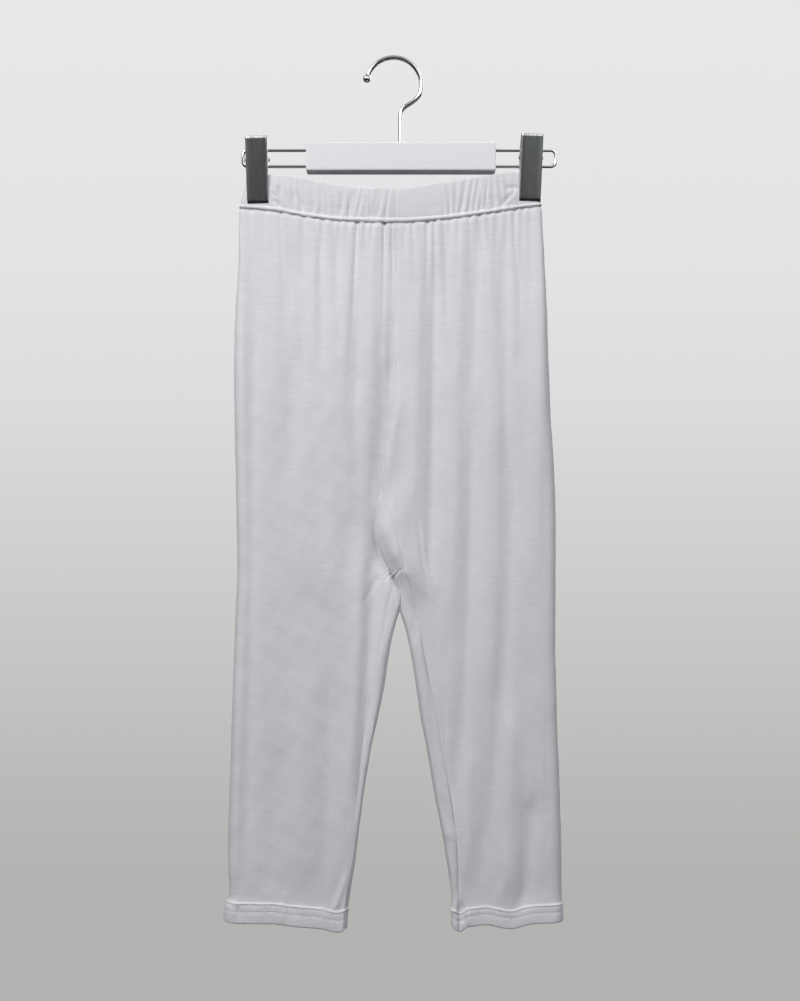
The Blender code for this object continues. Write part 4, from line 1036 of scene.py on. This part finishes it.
def jawPiece(name, row, facing, wide, look):
    # a pressed steel channel with rounded bends, its top edge rolled back and its lower lip turned in
    steel, bend = look["steel"], look["bend"]
    levels = [(0.9 * (1 - math.cos(a)), 1.1 * (1 - math.sin(a))) for a in np.radians((0, 30, 60, 90))]
    levels += [(down, 0.0) for down in look["levels"]]
    levels += [(look["high"] - above, inset) for above, inset in look["lip"]]
    outer, inner = [], []
    for down, inset in levels:
        share = down / look["high"]
        face = look["spread"] + (look["bite"] - look["spread"]) * share + steel - inset
        past = max(float(np.interp(down, look["flangeDown"], look["flangePast"])), steel + 0.2 - face + 0.9)
        side = wide / 2
        for grid, cut in ((outer, 0.0), (inner, steel)):
            turn = bend - cut
            line = [(-side + cut, past), (-side + cut, (past - face + bend) / 2)]
            line += [(-side + bend - turn * math.cos(a), -face + bend - turn * math.sin(a))
                     for a in np.radians(np.linspace(0, 90, 6))]
            line += [(x, -face + cut) for x in np.linspace(-side + bend, side - bend, 7)[1:-1]]
            line += [(side - bend + turn * math.sin(a), -face + bend - turn * math.cos(a))
                     for a in np.radians(np.linspace(0, 90, 6))]
            line += [(side - cut, (past - face + bend) / 2), (side - cut, past)]
            grid.append([(x, y * facing, -down) for x, y in line])
    outer, inner = np.array(outer), np.array(inner)
    count = outer.shape[0] * outer.shape[1]
    points = clipPlace(row, np.concatenate([outer.reshape(-1, 3), inner.reshape(-1, 3)]), look)
    sheet = gridFaces(np.arange(count).reshape(outer.shape[:2]).tolist())
    piece = addPiece(name, points, wallFaces(sheet, count), [nickel, edgeNickel], 35)
    # the bends and the rolled top are rubbed bright, the face and its lower lip stay dark
    flat = wide / 2 - look["rubbed"]
    matrix = Matrix.Rotation(math.radians(row["lean"]), 3, "Y")
    origin = Vector((row["x"] - math.sin(math.radians(row["lean"])) * look["high"] / 2, 0, -row["top"])) * mm
    for polygon in piece.data.polygons:
        local = matrix @ (polygon.center - origin) / mm
        dark = abs(local.x) < flat and local.z < -2.0 or local.z < 0.9 - look["high"]
        polygon.material_index = 0 if dark else 1
    return piece


def springPiece(name, row, look):
    # a coil spring round the pin, an arm against each jaw
    turns = np.linspace(0, 2 * math.pi * look["springTurns"], look["springTurns"] * 18)
    across = np.linspace(-look["coilHalf"], look["coilHalf"], len(turns))
    coil = look["coil"]
    path = [(x, coil * math.sin(a), -look["pinDown"] + coil * math.cos(a)) for x, a in zip(across, turns)]
    first, last = np.array(path[0]), np.array(path[-1])
    path = [*(first + (-x, -y, z) for x, y, z in look["springArm"][::-1]), *path,
            *(last + step for step in look["springArm"])]
    return tubePiece(name, clipPlace(row, path, look), look["springWire"], chrome, 10)


for row in clips:
    front = jawPiece(row["name"] + "FrontJaw", row, 1.0, clipMake["wide"], clipMake)
    narrower = clipMake["wide"] - 2 * (clipMake["steel"] + clipMake["gap"])
    back = jawPiece(row["name"] + "BackJaw", row, -1.0, narrower, clipMake)
    spring = springPiece(row["name"] + "Spring", row, clipMake)
    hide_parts(row["node"] + "_front_jaw")
    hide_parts(row["node"] + "_back_jaw")

for name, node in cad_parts.items():
    if name == "hanger_bar" or name.endswith("_pin"):
        finish = lacquer if name == "hanger_bar" else chrome
        if not node.material_slots:
            node.data.materials.append(finish)
        for place in node.material_slots:
            place.material = finish
print("hanger made")


# floor, light and camera

stageSet = {
    "floorDown": -1.35, "wallBack": 2.6, "front": -2.6, "wallTop": 3.2, "half": 4.2, "sweep": 0.9,
    # the board's painted glow at each height, brighter towards the top as a wall lit from above is
    "tones": ((-1.35, "#B2B2B0"), (-1.0, "#C1C1BF"), (-0.7, "#CBCBCA"), (-0.42, "#D3D3D3"), (-0.12, "#DCDCDC"),
              (0.3, "#E3E3E3"), (0.9, "#E7E7E7")),
}


def stagePiece(look):
    profile = [(look["front"], look["floorDown"])]
    turns = np.radians(np.linspace(0, 90, 17))
    profile += [(look["wallBack"] - look["sweep"] + look["sweep"] * math.sin(a),
                 look["floorDown"] + look["sweep"] - look["sweep"] * math.cos(a)) for a in turns]
    profile.append((look["wallBack"], look["wallTop"]))
    points = [(x, y, z) for y, z in profile for x in (-look["half"], look["half"])]
    faces = [(2 * i, 2 * i + 1, 2 * i + 3, 2 * i + 2) for i in range(len(profile) - 1)]
    data = bpy.data.meshes.new("studioSweep")
    data.from_pydata(points, [], faces)
    data.shade_smooth()
    sweep = bpy.data.objects.new("studioSweep", data)
    bpy.context.scene.collection.objects.link(sweep)
    # a matt board with a painted glow of its own, brighter towards the top, so that no shadow or spot of light
    # falls across it
    material, tree, shader = newMaterial("board glowing with painted top light", {
        "Base Color": toLinear("#101010"), "Roughness": 1.0, "Specular IOR Level": 0.0,
        "Emission Strength": 1.0})
    place = addNode(tree, "ShaderNodeTexCoord")
    height = addNode(tree, "ShaderNodeSeparateXYZ", None, {"Vector": place.outputs["Object"]})
    low, high = look["tones"][0][0], look["tones"][-1][0]
    share = addNode(tree, "ShaderNodeMapRange", {"From Min": low, "From Max": high},
                    {"Value": height.outputs["Z"]})
    stops = [((z - low) / (high - low), tone) for z, tone in look["tones"]]
    tone = colourRamp(tree, share.outputs["Result"], stops)
    # painted light: the board's glow by height stands in for light falling from above
    tree.links.new(tone.outputs["Color"], shader.inputs["Emission Color"])
    data.materials.append(material)
    # the board is there for the camera alone: the lights and the room light the leggings
    sweep.visible_diffuse = sweep.visible_glossy = sweep.visible_shadow = False


stagePiece(stageSet)

lightSet = {
    "key": {"at": (-0.95, -1.25, 0.8), "aim": (0.1, 0.0, -0.2), "size": (0.9, 0.9),
            "watts": 21.5, "colour": "#FFFEFC"},
    "fill": {"at": (0.9, -1.45, 0.6), "aim": (0.1, 0.0, -0.1), "size": (1.2, 1.2),
             "watts": 10.5, "colour": "#FCFDFF"},
    "back": {"at": (0.9, 1.6, 0.8), "aim": (0.0, 0.0, -0.4), "size": (1.4, 1.2),
             "watts": 13.0, "colour": "#FBFCFF"},
}


def addLight(name, look):
    data = bpy.data.lights.new(name, "AREA")
    data.shape = "RECTANGLE"
    data.size, data.size_y = look["size"]
    data.energy = look["watts"]
    data.color = toLinear(look["colour"])[:3]
    light = bpy.data.objects.new(name, data)
    light.location = look["at"]
    light.rotation_euler = (Vector(look["aim"]) - Vector(look["at"])).to_track_quat("-Z", "Y").to_euler()
    light.visible_camera = False
    bpy.context.scene.collection.objects.link(light)


for name, look in lightSet.items():
    addLight(name + "Light", look)

roomSet = {
    "strength": 0.46,  # a room with a dark floor and a bright ceiling
    "tones": ((0.0, "#2A2A2C"), (0.4, "#4C4C4E"), (0.52, "#9A9B9E"), (0.75, "#E4E5E8"), (1.0, "#FFFFFF")),
}
world = bpy.data.worlds.new("softRoom")
bpy.context.scene.world = world
world.use_nodes = True
worldTree = world.node_tree
worldTree.nodes.clear()
direction = addNode(worldTree, "ShaderNodeTexCoord")
height = addNode(worldTree, "ShaderNodeSeparateXYZ", None, {"Vector": direction.outputs["Generated"]})
heightShare = addNode(worldTree, "ShaderNodeMapRange", {"From Min": -1.0, "From Max": 1.0},
                      {"Value": height.outputs["Z"]})
roomTone = colourRamp(worldTree, heightShare.outputs["Result"], roomSet["tones"])
backdrop = addNode(worldTree, "ShaderNodeBackground", {"Strength": roomSet["strength"]},
                   {"Color": roomTone.outputs["Color"]})
addNode(worldTree, "ShaderNodeOutputWorld", None, {"Surface": backdrop.outputs["Background"]})

cameraSet = {"at": (0.006, -1.22, -0.419), "tall": 42.6}
cameraData = bpy.data.cameras.new("photoCamera")
cameraData.sensor_width = 36.0
cameraData.lens = cameraData.sensor_width / 2 / math.tan(math.radians(cameraSet["tall"] / 2))
cameraData.clip_start, cameraData.clip_end = 0.01, 50.0
camera = bpy.data.objects.new("photoCamera", cameraData)
camera.location = cameraSet["at"]
camera.rotation_euler = (math.pi / 2, 0, 0)
bpy.context.scene.collection.objects.link(camera)
bpy.context.scene.camera = camera
bpy.context.scene.view_settings.view_transform = "Standard"
print("stage, light and camera made")
